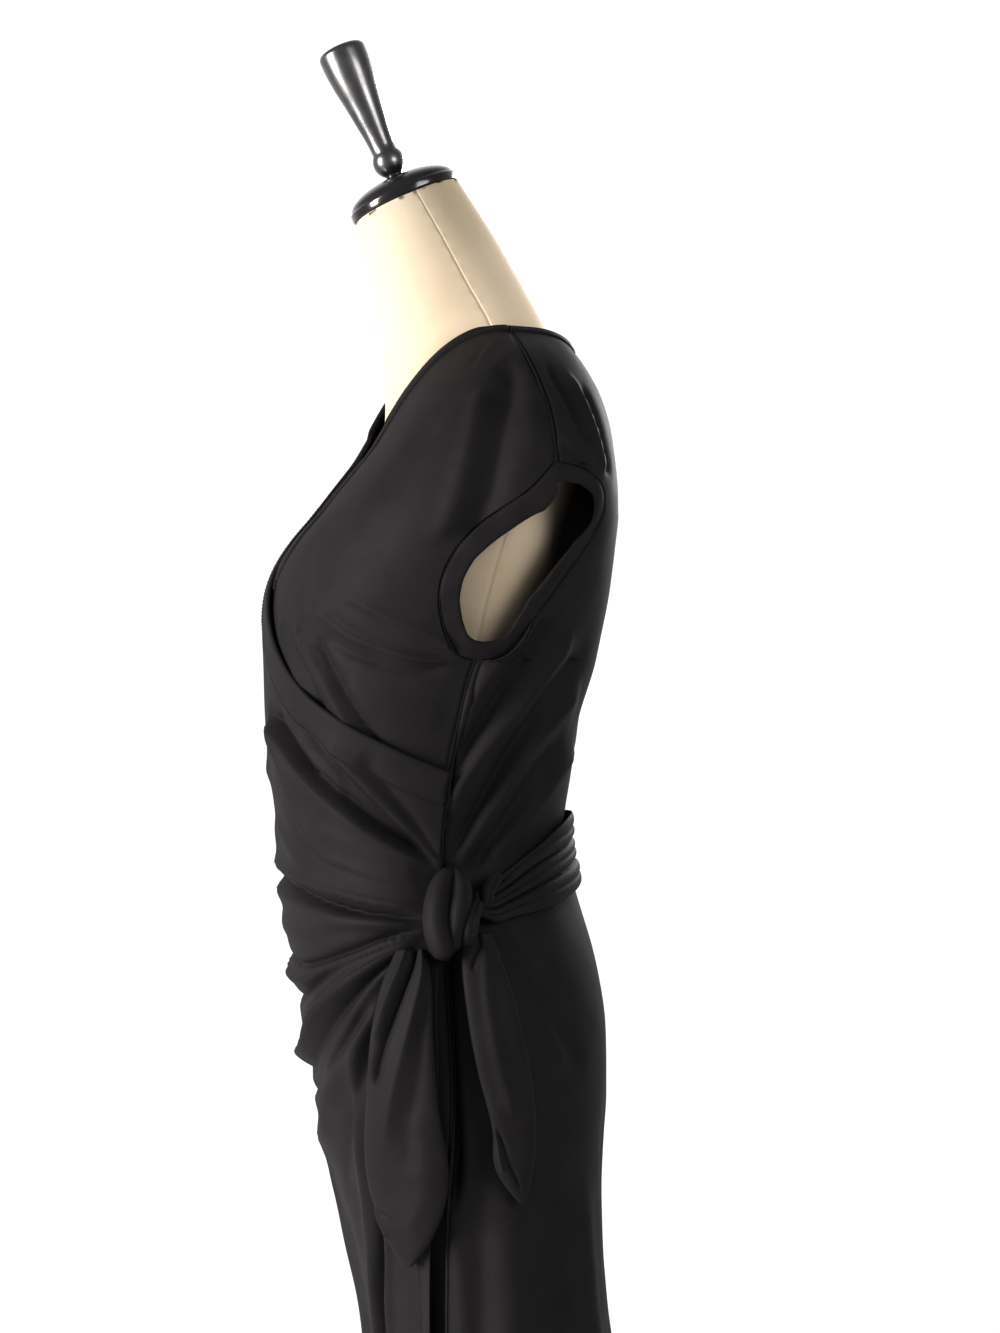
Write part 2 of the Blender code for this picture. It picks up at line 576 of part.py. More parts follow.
def make_stand(metal, lacquer, parts):
    base = ((0.0, BASE_HEIGHT), (BASE_RADIUS - 0.003, BASE_HEIGHT), (BASE_RADIUS, BASE_HEIGHT - 0.003),
            (BASE_RADIUS, 0.002), (BASE_RADIUS - 0.002, 0.0), (0.0, 0.0))
    turned("base_plate", base, (0, 0, 0), 0, lacquer, parts, steps=48)
    foot = BASE_HEIGHT + STAND_GAP
    collar = ((0.0, foot + COLLAR_HEIGHT), (0.018, foot + COLLAR_HEIGHT), (0.022, foot + 0.024),
              (0.034, foot + 0.006), (0.036, foot), (0.0, foot))
    turned("base_collar", collar, (0, 0, 0), 0, lacquer, parts)
    pole_foot = foot + COLLAR_HEIGHT + STAND_GAP
    pole_head = FORM_RINGS[0][0] - STAND_GAP
    pole = ((0.0, pole_head), (POLE_RADIUS, pole_head), (POLE_RADIUS, pole_foot), (0.0, pole_foot))
    turned("pole", pole, (0, 0, 0), 0, metal, parts, steps=24)


def main():
    for old in list(bpy.data.objects):
        bpy.data.objects.remove(old, do_unlink=True)
    parts = bpy.data.collections.new("wrap_dress_on_form")
    bpy.context.scene.collection.children.link(parts)
    cloth = new_material("black_jersey", (0.022, 0.021, 0.023), 0.62)
    cover = new_material("cream_cover", (0.80, 0.70, 0.54), 0.80)
    lacquer = new_material("black_lacquer", (0.012, 0.011, 0.012), 0.18)
    metal = new_material("black_metal", (0.03, 0.03, 0.03), 0.35, 1.0)
    make_fronts(cloth, parts)
    make_back(cloth, parts)
    make_neck_bands(cloth, parts)
    make_armhole_bands(cloth, parts)
    make_tie(cloth, parts)
    make_tails(cloth, parts)
    make_knot(cloth, parts)
    make_torso(cover, parts)
    make_neck_cap(lacquer, parts)
    make_stand(metal, lacquer, parts)


if __name__ == "__main__":
    main()
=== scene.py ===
"""A black jersey surplice wrap dress on a limbless dress form with a turned finial and a stand."""

import math
import random

import bmesh
import bpy
import numpy as np
from mathutils import Matrix, Vector


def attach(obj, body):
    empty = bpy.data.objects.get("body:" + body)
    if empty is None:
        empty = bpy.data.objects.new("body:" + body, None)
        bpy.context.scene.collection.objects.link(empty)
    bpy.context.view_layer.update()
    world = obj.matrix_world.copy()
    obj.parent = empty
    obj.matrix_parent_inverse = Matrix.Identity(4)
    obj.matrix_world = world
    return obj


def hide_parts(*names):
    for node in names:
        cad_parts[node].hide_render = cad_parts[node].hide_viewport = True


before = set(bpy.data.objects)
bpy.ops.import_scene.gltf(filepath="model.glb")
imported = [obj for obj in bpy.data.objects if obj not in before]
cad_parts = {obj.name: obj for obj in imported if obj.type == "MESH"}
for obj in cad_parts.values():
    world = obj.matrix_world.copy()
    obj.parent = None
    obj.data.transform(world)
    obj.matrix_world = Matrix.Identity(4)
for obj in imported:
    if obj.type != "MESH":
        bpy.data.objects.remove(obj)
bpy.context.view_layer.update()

CLOTH = 0.0009  # wall of the jersey
BINDING_WALL = 0.0007
ARMHOLE_WALL = 0.0008
MEAN_RADIUS = 0.15  # turns an angle on a ring into a length
SQUARENESS = 0.87
GAP_ANGLE = 0.05
ARMHOLE_SPREAD = 400  # degrees a metre by which the bodice clears the seam above the armpit
OVER_LIFT = 0.0036
UNDER_SINK = 0.0045
OVER_SPARE, UNDER_SPARE = 0.0028, 0.0010  # least room between a panel and the form
HEM_LEVEL, CATCH_LEVEL, ARMPIT_LEVEL, CAP_EDGE_LEVEL, NECK_LEVEL = 0.40, 1.100, 1.189, 1.337, 1.460
NECK_BAND_WIDTH, WRAP_BAND_WIDTH = 0.010, 0.026
LEFT_BAND_LEVEL = 1.268
BAND_SEAT = 0.0006  # how far a band sits off its panel

CAP_CENTRE = Vector((0.0, -0.030, 1.575))
CAP_TILT = math.radians(24.0)
CAP_RADIUS = 0.0475
POLE_RADIUS, BASE_RADIUS, BASE_HEIGHT, COLLAR_HEIGHT, STAND_GAP = 0.014, 0.175, 0.010, 0.030, 0.0004

# level, half_width, side_y, front_y, back_y, front_z, back_z
DRESS_RINGS = (
    (0.400, 0.190, 0.050, -0.046, 0.148, 0.400, 0.400),
    (0.500, 0.188, 0.047, -0.048, 0.143, 0.500, 0.500),
    (0.620, 0.184, 0.041, -0.055, 0.135, 0.620, 0.620),
    (0.700, 0.182, 0.034, -0.071, 0.127, 0.700, 0.700),
    (0.760, 0.181, 0.026, -0.085, 0.126, 0.760, 0.760),
    (0.840, 0.180, 0.014, -0.103, 0.130, 0.840, 0.840),
    (0.900, 0.175, 0.006, -0.113, 0.130, 0.900, 0.900),
    (0.950, 0.165, 0.000, -0.122, 0.121, 0.950, 0.950),
    (1.000, 0.149, -0.010, -0.128, 0.107, 1.000, 1.000),
    (1.040, 0.140, -0.016, -0.131, 0.098, 1.040, 1.040),
    (1.090, 0.140, -0.015, -0.138, 0.104, 1.090, 1.090),
    (1.140, 0.150, -0.009, -0.142, 0.111, 1.140, 1.140),
    (1.189, 0.165, -0.002, -0.144, 0.124, 1.189, 1.189),
    (1.225, 0.180, 0.010, -0.144, 0.130, 1.222, 1.226),
    (1.265, 0.195, 0.028, -0.139, 0.133, 1.254, 1.267),
    (1.318, 0.212, 0.048, -0.121, 0.133, 1.288, 1.322),
    (1.345, 0.209, 0.048, -0.108, 0.130, 1.304, 1.350),
    (1.378, 0.195, 0.046, -0.093, 0.126, 1.323, 1.380),
    (1.406, 0.171, 0.042, -0.079, 0.121, 1.340, 1.405),
    (1.434, 0.130, 0.040, -0.067, 0.114, 1.354, 1.430),
    (1.460, 0.067, 0.043, -0.059, 0.107, 1.366, 1.453),
)
FORM_RINGS = (
    (0.800, 0.158, 0.014, -0.082, 0.116, 0.800, 0.800),
    (0.860, 0.163, 0.010, -0.092, 0.120, 0.860, 0.860),
    (0.930, 0.152, 0.000, -0.104, 0.110, 0.930, 0.930),
    (1.000, 0.130, -0.010, -0.108, 0.094, 1.000, 1.000),
    (1.040, 0.122, -0.015, -0.109, 0.087, 1.040, 1.040),
    (1.100, 0.126, -0.012, -0.118, 0.093, 1.100, 1.100),
    (1.160, 0.140, -0.006, -0.130, 0.104, 1.160, 1.160),
    (1.200, 0.150, 0.000, -0.134, 0.098, 1.198, 1.200),
    (1.240, 0.158, 0.008, -0.131, 0.088, 1.232, 1.240),
    (1.280, 0.166, 0.018, -0.119, 0.090, 1.258, 1.280),
    (1.320, 0.172, 0.030, -0.100, 0.099, 1.280, 1.320),
    (1.355, 0.172, 0.039, -0.086, 0.107, 1.300, 1.352),
    (1.385, 0.163, 0.042, -0.076, 0.110, 1.318, 1.382),
    (1.410, 0.140, 0.041, -0.067, 0.109, 1.334, 1.408),
    (1.430, 0.104, 0.040, -0.056, 0.104, 1.350, 1.429),
    (1.448, 0.067, 0.036, -0.048, 0.095, 1.378, 1.449),
    (1.470, 0.057, 0.028, -0.047, 0.086, 1.425, 1.473),
    (1.500, 0.051, 0.012, -0.052, 0.068, 1.484, 1.506),
    (1.530, 0.0485, -0.004, -0.060, 0.048, 1.516, 1.540),
    (1.5755, 0.0460, -0.0300, -0.0725, 0.0125, 1.5575, 1.5935),
)
SIDE_SEAM = ((0.400, 50), (0.620, 52), (0.750, 64), (0.850, 75), (0.950, 81), (1.030, 86), (1.189, 90))
FREE_EDGE = ((0.400, 46), (0.620, 48), (0.750, 60), (0.850, 71), (0.950, 78), (1.000, 84))
ARMHOLE_FRONT = (
    (1.189, 90), (1.191, 87.5), (1.196, 84.5), (1.205, 81.5), (1.217, 78.6), (1.234, 75.5), (1.252, 73.8),
    (1.268, 74), (1.284, 76.3), (1.300, 80.5), (1.318, 86), (1.337, 90),
)
ARMHOLE_BACK = (
    (1.189, 90), (1.1895, 93.5), (1.194, 97), (1.204, 99.6), (1.222, 102.3), (1.250, 107), (1.279, 114),
    (1.300, 118.5), (1.318, 115), (1.331, 104), (1.337, 90),
)
SURPLICE = (
    (1.100, 90), (1.120, 70.5), (1.141, 51), (1.166, 32), (1.188, 20), (1.203, 13.5), (1.240, 4),
    (1.282, 0), (1.323, -1.5), (1.384, -5), (1.425, -11), (1.448, -20), (1.4575, -35), (1.459, -52),
    (1.4595, -70), (1.460, -90),
)

# Folds: height, width above and below the crest (to the left and right of its way), all in mm; crispness,
# 1 for a knife edge and 2 for a round roll; width at its start and end as shares; (level, angle) places.
SLIT_SHADOW = (-12.0, 5, 7, 2.0, 1.0, 0.8, (
    (0.985, 86), (0.949, 82), (0.893, 78.5), (0.850, 76.5), (0.807, 73.5), (0.770, 69),
))
OVER_FRONT_FOLDS = (
    # the deep drape under the wrap's band, and the roll that hangs over it
    (-9.5, 11, 4.0, 1.6, 1.0, 0.6, (
        (1.150, 4), (1.136, 17), (1.117, 28), (1.099, 39), (1.081, 52), (1.064, 63), (1.046, 76),
        (1.030, 87),
    )),
    (7.0, 4.0, 20, 1.5, 1.0, 0.6, (
        (1.142, 3), (1.127, 16), (1.108, 27), (1.090, 38), (1.072, 51), (1.056, 62), (1.039, 75),
        (1.025, 87),
    )),
    # pulls between the band and the drape
    (4.4, 5, 6, 1.1, 1.3, 0.8, ((1.150, 19), (1.132, 28), (1.107, 40), (1.083, 53))),
    (-5.0, 6, 6, 1.5, 1.0, 0.5, ((1.140, 30), (1.117, 43), (1.092, 56), (1.060, 72), (1.036, 84))),
    (6.0, 9, 5, 1.2, 1.3, 0.4, ((1.126, 41), (1.108, 53), (1.072, 70), (1.038, 83), (1.020, 89))),
    (-3.6, 8, 6, 1.5, 1.2, 0.4, ((1.118, 58), (1.092, 68), (1.060, 79), (1.030, 87))),
    # the thin cowl edge, and the flat belly above it
    (4.0, 14, 3.2, 1.3, 1.0, 1.0, (
        (1.160, 1), (1.133, 10), (1.089, 20), (1.061, 27), (1.040, 36), (1.028, 52), (1.021, 64),
        (1.012, 80),
    )),
    (3.0, 12, 14, 2.0, 1.0, 0.6, ((1.060, 34), (1.052, 46), (1.038, 62), (1.020, 80))),
    (2.5, 10, 10, 2.0, 1.0, 0.6, (
        (1.020, -18), (1.052, 0), (1.034, 18), (1.022, 36), (1.016, 56), (1.006, 80),
    )),
    # the pleats that gather into the knot
    (5.0, 9, 3.4, 1.3, 1.2, 0.4, (
        (1.024, -30), (1.018, -8), (1.016, 14), (1.010, 36), (1.003, 56), (0.996, 80),
    )),
    (-8.0, 3.4, 5.5, 1.4, 1.0, 0.5, (
        (1.010, -26), (1.006, -4), (1.006, 16), (0.999, 38), (0.993, 56), (0.990, 80),
    )),
    (5.5, 4.0, 9, 1.4, 1.2, 0.5, (
        (1.000, -32), (0.996, -6), (0.996, 16), (0.991, 38), (0.988, 56), (0.986, 78),
    )),
    (3.0, 9, 7, 2.0, 1.2, 0.4, (
        (0.982, -36), (0.968, -8), (0.972, 18), (0.981, 36), (0.985, 56), (0.983, 76),
    )),
    (-8.0, 6, 3.0, 1.4, 1.0, 0.45, (
        (0.955, -42), (0.940, -14), (0.940, 8), (0.950, 27), (0.962, 44), (0.975, 62), (0.982, 78),
    )),
    (7.0, 3.2, 8, 1.3, 1.1, 0.4, (
        (0.940, -42), (0.926, -12), (0.930, 8), (0.944, 28), (0.958, 46), (0.972, 63), (0.981, 78),
    )),
    (-8.0, 6, 3.2, 1.4, 1.1, 0.4, (
        (0.915, -40), (0.902, -12), (0.916, 8), (0.934, 24), (0.952, 41), (0.967, 59), (0.979, 76),
    )),
    (4.0, 3.4, 7, 1.3, 1.2, 0.35, (
        (0.893, 0), (0.912, 16), (0.932, 30), (0.952, 46), (0.967, 62), (0.978, 76),
    )),
    (11.0, 4.5, 12, 1.4, 1.3, 0.3, (
        (0.858, -46), (0.856, -12), (0.878, 6), (0.906, 20), (0.937, 41), (0.959, 60), (0.974, 76),
    )),
    (-7.5, 6, 5, 1.5, 1.4, 0.3, (
        (0.846, -34), (0.842, -8), (0.872, 12), (0.905, 30), (0.935, 48), (0.960, 65), (0.972, 76),
    )),
    (6.5, 5, 9, 1.3, 1.4, 0.3, (
        (0.812, -6), (0.850, 14), (0.883, 29), (0.915, 43), (0.948, 59), (0.968, 72),
    )),
    (5.5, 12, 14, 1.8, 1.2, 0.6, (
        (0.795, -46), (0.780, -16), (0.800, 2), (0.840, 18), (0.880, 38), (0.925, 55),
    )),
    (-6.5, 9, 7, 1.6, 1.2, 0.6, (
        (0.812, -40), (0.812, -14), (0.832, 0), (0.862, 20), (0.900, 40), (0.935, 56),
    )),
    (-5.0, 8, 9, 1.7, 1.3, 0.4, ((0.770, 12), (0.820, 28), (0.868, 42), (0.915, 54), (0.950, 66))),
    # long soft folds that fall from the knot to the hem
    (6.5, 9, 9, 1.5, 0.7, 1.6, (
        (0.935, 56), (0.895, 45), (0.859, 38), (0.807, 34), (0.757, 30), (0.705, 25), (0.646, 17),
        (0.560, 10), (0.470, 7),
    )),
    (-3.0, 9, 9, 1.8, 0.7, 1.6, ((0.900, 54), (0.850, 46), (0.800, 41), (0.770, 39), (0.740, 37))),
    (4.0, 12, 14, 2.0, 0.8, 1.5, ((0.790, -8), (0.730, -10), (0.650, -14), (0.560, -16), (0.450, -17))),
    (-3.5, 12, 14, 2.0, 0.8, 1.4, ((0.750, 6), (0.680, 0), (0.600, -4), (0.520, -5), (0.420, -5))),
    (3.5, 16, 16, 2.0, 0.8, 1.5, ((0.840, -40), (0.760, -44), (0.650, -48), (0.540, -50), (0.430, -50))),
    (-3.0, 14, 14, 2.0, 0.8, 1.4, ((0.780, -28), (0.700, -32), (0.600, -34), (0.500, -35), (0.410, -35))),
    (-3.0, 12, 16, 2.0, 0.8, 1.4, ((0.800, -60), (0.700, -64), (0.600, -66), (0.500, -67), (0.410, -67))),
    # the slit where the skirt folds under beside its free edge
    (-15.0, 4.5, 3.4, 1.7, 0.5, 1.1, (
        (0.790, 39), (0.757, 36), (0.718, 31.5), (0.682, 26), (0.652, 22), (0.580, 17.5), (0.500, 16),
        (0.400, 15.5),
    )),
    (3.0, 6, 5, 1.5, 0.8, 1.0, (
        (0.775, 35), (0.757, 32.5), (0.718, 28), (0.682, 23), (0.652, 19), (0.580, 14), (0.500, 12.5),
        (0.400, 12),
    )),
    (3.5, 5, 7, 1.5, 0.8, 1.0, (
        (0.785, 43), (0.757, 40), (0.718, 35.5), (0.682, 30), (0.652, 26), (0.580, 21.5), (0.500, 20),
        (0.400, 19.5),
    )),
    # pulls from the hidden side seam and shoulder
    (3.5, 11, 9, 1.7, 0.6, 1.2, ((1.178, -88), (1.186, -70), (1.200, -50), (1.216, -30), (1.222, -14))),
    (-3.0, 9, 8, 1.7, 0.6, 1.1, ((1.168, -88), (1.168, -68), (1.178, -48), (1.190, -30))),
    (3.0, 10, 9, 1.7, 0.6, 1.2, ((1.150, -88), (1.146, -66), (1.152, -44), (1.160, -24))),
    (-3.0, 9, 8, 1.7, 0.7, 1.1, ((1.120, -88), (1.112, -64), (1.110, -40), (1.116, -18))),
    (3.5, 11, 9, 1.7, 0.7, 1.2, ((1.080, -88), (1.082, -62), (1.084, -38), (1.094, -16), (1.104, 0))),
    (-3.0, 9, 8, 1.7, 0.7, 1.2, ((1.048, -88), (1.052, -60), (1.058, -36), (1.066, -12))),
    (3.0, 10, 9, 1.7, 0.7, 1.2, ((1.005, -88), (1.016, -66), (1.026, -46))),
    (-5.0, 13, 16, 1.9, 0.7, 1.3, ((1.420, -82), (1.380, -79), (1.345, -77), (1.300, -77), (1.260, -70))),
    (2.5, 9, 14, 1.9, 0.8, 1.3, ((1.410, -70), (1.370, -68), (1.325, -67), (1.285, -70))),
)
UNDER_FRONT_FOLDS = (
    # thin sharp pulls out of the armpit
    (3.6, 2.2, 8, 1.0, 0.6, 1.2, (
        (1.192, 88), (1.200, 82), (1.207, 77), (1.220, 63), (1.232, 53), (1.244, 43),
    )),
    (4.2, 2.6, 9, 1.0, 0.5, 1.3, (
        (1.188, 88), (1.189, 77), (1.197, 63), (1.209, 49), (1.222, 40), (1.238, 28),
    )),
    (-3.0, 6, 4, 1.5, 0.4, 1.3, ((1.189, 86), (1.195, 73), (1.205, 58), (1.219, 46), (1.232, 38))),
    (-3.5, 4, 8, 1.4, 0.5, 1.3, ((1.182, 86), (1.180, 74), (1.187, 60), (1.199, 47), (1.212, 38))),
    # rolls that lean down toward the band, each with a dark crease beside it
    (4.6, 3.0, 11, 1.1, 1.2, 0.8, ((1.222, 25), (1.206, 31), (1.186, 38), (1.162, 46), (1.118, 60))),
    (-4.6, 5.0, 2.6, 1.4, 1.1, 0.8, ((1.212, 34), (1.196, 40), (1.174, 47), (1.150, 55), (1.112, 68))),
    (3.6, 2.6, 7, 1.1, 1.1, 0.9, ((1.226, 14), (1.208, 19), (1.188, 25), (1.146, 38))),
    (-3.6, 4, 2.6, 1.4, 1.0, 0.9, ((1.218, 21), (1.200, 26), (1.182, 32), (1.144, 44))),
    (1.6, 14, 14, 2.0, 1.0, 1.0, ((1.170, 50), (1.160, 62), (1.152, 74), (1.146, 86))),
    # the cap sleeve's long hollow and the roll before it
    (-8.5, 10, 17, 1.8, 0.7, 1.2, (
        (1.428, 86), (1.403, 83), (1.370, 78.5), (1.339, 76.5), (1.300, 76), (1.268, 76),
    )),
    (4.5, 12, 9, 1.7, 0.8, 1.2, ((1.405, 75), (1.390, 72), (1.350, 69), (1.311, 68.5), (1.275, 69))),
    (2.0, 9, 9, 1.8, 0.8, 1.0, ((1.395, 87.5), (1.365, 86), (1.345, 85.5), (1.325, 84))),
    (-1.8, 14, 16, 2.0, 1.0, 1.0, ((1.400, 56), (1.352, 52), (1.305, 50), (1.262, 50))),
    # puckers by the neck point
    (0.9, 2.2, 2.2, 1.5, 1.0, 1.0, ((1.446, 84), (1.436, 79), (1.425, 74))),
    (-0.9, 2.2, 2.2, 1.5, 1.0, 1.0, ((1.444, 80), (1.434, 75), (1.424, 70))),
    (0.8, 2.0, 2.0, 1.5, 1.0, 1.0, ((1.432, 87), (1.424, 82), (1.416, 77))),
    # the hollow below the knot, and the hidden skirt
    SLIT_SHADOW,
    (3.0, 14, 14, 2.0, 0.8, 1.3, ((0.900, 20), (0.760, 14), (0.600, 8), (0.430, 6))),
    (-3.0, 14, 14, 2.0, 0.8, 1.3, ((0.900, -30), (0.760, -34), (0.600, -36), (0.430, -36))),
)
BACK_FOLDS = (
    # pulls from the knot up across the left of the back
    (7.5, 7, 13, 1.2, 0.35, 1.6, (
        (1.022, 88), (1.036, 91), (1.057, 97), (1.088, 106), (1.127, 116), (1.150, 128), (1.172, 142),
    )),
    (7.5, 5, 12, 1.2, 0.45, 1.5, (
        (1.060, 87), (1.081, 89), (1.104, 93), (1.132, 100), (1.153, 107), (1.180, 114), (1.215, 124),
    )),
    (-9.0, 8, 7, 1.5, 0.5, 1.4, (
        (1.080, 87), (1.104, 89), (1.132, 94), (1.170, 101), (1.200, 106), (1.228, 112),
    )),
    (5.5, 5, 10, 1.2, 0.6, 1.4, ((1.128, 87.5), (1.147, 89), (1.170, 93), (1.190, 97), (1.222, 104))),
    (-9.0, 9, 10, 1.6, 0.4, 1.5, (
        (1.030, 88), (1.050, 93), (1.078, 99), (1.110, 106), (1.140, 114), (1.172, 124), (1.200, 138),
    )),
    (-7.5, 9, 9, 1.6, 0.5, 1.5, ((1.024, 92), (1.040, 100), (1.068, 111), (1.098, 122), (1.126, 136))),
    (5.0, 7, 11, 1.3, 0.5, 1.4, ((1.030, 98), (1.048, 108), (1.072, 121), (1.100, 138), (1.120, 156))),
    (2.4, 3, 5, 1.2, 0.7, 1.1, ((1.152, 89.5), (1.166, 91), (1.184, 93), (1.197, 96))),
    (-2.6, 4, 3, 1.3, 0.8, 1.0, ((1.146, 91), (1.162, 93.5), (1.180, 97), (1.194, 101))),
    # the same from the hidden side
    (4.5, 10, 12, 1.6, 0.5, 1.5, ((1.030, 272), (1.052, 265), (1.082, 256), (1.118, 246), (1.152, 234))),
    (-4.5, 9, 9, 1.7, 0.5, 1.4, ((1.050, 272), (1.078, 267), (1.114, 259), (1.152, 250), (1.186, 240))),
    (3.8, 8, 10, 1.6, 0.6, 1.4, ((1.090, 272), (1.118, 267), (1.150, 260), (1.184, 252), (1.216, 244))),
    (-3.4, 8, 8, 1.7, 0.7, 1.3, ((1.130, 271), (1.156, 267), (1.184, 261), (1.214, 254))),
    (3.0, 7, 9, 1.6, 0.7, 1.2, ((1.160, 271), (1.180, 267), (1.204, 261), (1.232, 255))),
    (2.5, 12, 12, 2.0, 1.0, 1.2, ((1.100, 170), (1.150, 176), (1.210, 186), (1.270, 190))),
    (-2.5, 12, 12, 2.0, 1.0, 1.2, ((1.090, 150), (1.140, 160), (1.200, 164), (1.250, 166))),
    # the back of the cap sleeves
    (3.4, 6, 9, 1.7, 0.9, 1.2, ((1.412, 108), (1.397, 110), (1.376, 112.5), (1.351, 116), (1.328, 119))),
    (-5.0, 8, 6, 1.8, 0.9, 1.2, ((1.402, 115), (1.380, 117), (1.354, 120), (1.326, 123))),
    (2.4, 3, 4, 1.3, 0.8, 1.2, ((1.356, 92), (1.351, 97), (1.343, 103), (1.333, 108))),
    (-2.6, 3, 3, 1.4, 0.8, 1.2, ((1.347, 92), (1.343, 98), (1.335, 104))),
    (-4.0, 6, 8, 1.8, 1.0, 0.9, ((1.420, 98), (1.404, 99), (1.386, 101), (1.366, 105), (1.350, 111))),
    (3.5, 9, 6, 1.5, 0.9, 1.2, ((1.404, 250), (1.376, 246), (1.346, 243), (1.322, 242))),
    (-3.5, 6, 8, 1.7, 0.9, 1.2, ((1.400, 243), (1.374, 239), (1.344, 236))),
    (-2.0, 14, 14, 2.0, 1.0, 1.0, ((1.400, 150), (1.350, 146), (1.300, 144))),
    (-2.0, 14, 14, 2.0, 1.0, 1.0, ((1.400, 212), (1.350, 215), (1.300, 217))),
    # the skirt
    SLIT_SHADOW,
    (3.2, 6, 8, 1.6, 0.6, 1.4, ((0.985, 92), (0.968, 96), (0.940, 102), (0.905, 108), (0.870, 116))),
    (-3.6, 8, 6, 1.7, 0.6, 1.4, ((0.990, 96), (0.966, 101), (0.936, 108), (0.900, 116), (0.868, 126))),
    (3.5, 14, 14, 2.0, 0.9, 1.3, (
        (0.830, 88), (0.761, 87.5), (0.712, 85), (0.679, 83), (0.580, 80), (0.480, 78), (0.410, 78),
    )),
    (-3.5, 12, 12, 2.0, 0.9, 1.3, (
        (0.800, 78), (0.735, 76.5), (0.679, 72), (0.600, 68), (0.500, 65), (0.410, 64),
    )),
    (2.5, 8, 9, 2.0, 0.9, 1.2, ((0.770, 68), (0.726, 67), (0.677, 64.5), (0.600, 60), (0.500, 58))),
    (-3.5, 14, 14, 2.0, 0.9, 1.3, ((0.860, 108), (0.760, 104), (0.660, 101), (0.540, 100), (0.410, 100))),
    (3.0, 16, 16, 2.0, 0.9, 1.3, ((0.800, 122), (0.700, 124), (0.600, 125), (0.500, 126), (0.410, 126))),
    (-3.5, 16, 18, 2.0, 0.9, 1.3, ((0.860, 148), (0.750, 150), (0.620, 150), (0.500, 150), (0.410, 150))),
    (3.5, 18, 16, 2.0, 0.9, 1.3, ((0.820, 176), (0.700, 174), (0.600, 172), (0.500, 171), (0.410, 171))),
    (-4.0, 16, 16, 2.0, 0.9, 1.3, ((0.880, 200), (0.760, 198), (0.640, 196), (0.520, 195), (0.410, 195))),
    (4.0, 16, 16, 2.0, 0.9, 1.3, ((0.830, 226), (0.720, 224), (0.600, 222), (0.500, 220), (0.410, 220))),
    (-3.5, 14, 14, 2.0, 0.9, 1.3, ((0.860, 252), (0.740, 252), (0.620, 252), (0.500, 252), (0.410, 252))),
    (3.0, 14, 14, 2.0, 0.9, 1.3, ((0.800, 278), (0.700, 284), (0.600, 288), (0.500, 290), (0.410, 290))),
)

# share down, level, left_angle, right_angle, lift
FRONT_TAIL = (
    (0.00, 0.966, 66.0, 76.0, 0.010),
    (0.10, 0.944, 60.5, 75.8, 0.0150),
    (0.22, 0.908, 54.5, 74.2, 0.0175),
    (0.40, 0.856, 48.6, 72.6, 0.0180),
    (0.62, 0.802, 42.6, 72.2, 0.0175),
    (0.80, 0.767, 42.2, 66.5, 0.0160),
    (0.93, 0.743, 45.0, 59.0, 0.0145),
    (1.00, 0.727, 49.0, 51.6, 0.0135),
)
BACK_TAIL = (
    (0.00, 0.975, 86.5, 94.0, 0.0150),
    (0.12, 0.950, 84.8, 95.2, 0.0160),
    (0.30, 0.915, 84.3, 97.0, 0.0170),
    (0.50, 0.880, 84.9, 98.0, 0.0160),
    (0.75, 0.835, 86.6, 98.0, 0.0140),
    (0.90, 0.803, 86.2, 95.8, 0.0120),
    (1.00, 0.779, 90.6, 91.8, 0.0110),
)
# angle, top_level, bottom_level, lift
BACK_TIE = (
    (92, 1.006, 0.990, 0.0130),
    (97, 1.013, 0.985, 0.0110),
    (103, 1.019, 0.988, 0.008),
    (120, 1.038, 0.993, 0.007),
    (150, 1.062, 1.003, 0.007),
    (180, 1.062, 1.003, 0.007),
    (215, 1.051, 0.998, 0.007),
    (250, 1.037, 0.988, 0.007),
    (272, 1.030, 0.984, 0.005),
)


# ---- the curved surfaces, measured by angle round the body and level up it


def smooth_columns(table, at):
    """Each column of a table at the values 'at' of its first column, through cubic curves."""
    rows = np.array(table, float)
    knots = rows[:, 0]
    slopes = np.gradient(rows, knots, axis=0)
    place = np.clip(np.searchsorted(knots, at) - 1, 0, len(knots) - 2)
    span = (knots[place + 1] - knots[place])[..., None]
    t = np.clip((np.asarray(at) - knots[place])[..., None] / span, 0, 1)
    low, high = rows[place], rows[place + 1]
    rise_low, rise_high = slopes[place] * span, slopes[place + 1] * span
    return (
        low * (2 * t**3 - 3 * t**2 + 1)
        + rise_low * (t**3 - 2 * t**2 + t)
        + high * (3 * t**2 - 2 * t**3)
        + rise_high * (t**3 - t**2)
    )


def ring_points(table, angle, level):
    _, half_width, side_y, front_y, back_y, front_z, back_z = np.moveaxis(
        smooth_columns(table, np.asarray(level, float)), -1, 0
    )
    turn = np.radians(angle)
    ahead, across = np.cos(turn), np.sin(turn)
    reach = np.abs(ahead) ** SQUARENESS
    is_front = ahead > 0
    x = half_width * np.sign(across) * np.abs(across) ** SQUARENESS
    y = side_y + reach * np.where(is_front, front_y - side_y, back_y - side_y)
    z = level + ahead**2 * np.where(is_front, front_z - level, back_z - level)
    return np.stack([x, y, z], axis=-1)


def surface_ways(table, angle, level):
    """The steps over one degree round and over a few millimetres up, and how many millimetres."""
    low = np.maximum(level - 0.002, table[0][0])
    high = np.minimum(level + 0.002, table[-1][0])
    round_way = ring_points(table, angle + 0.5, level) - ring_points(table, angle - 0.5, level)
    up_way = ring_points(table, angle, high) - ring_points(table, angle, low)
    return round_way, up_way, high - low


def ring_normals(table, angle, level):
    round_way, up_way, _ = surface_ways(table, angle, level)
    normal = np.cross(round_way, up_way)
    return normal / np.linalg.norm(normal, axis=-1, keepdims=True)


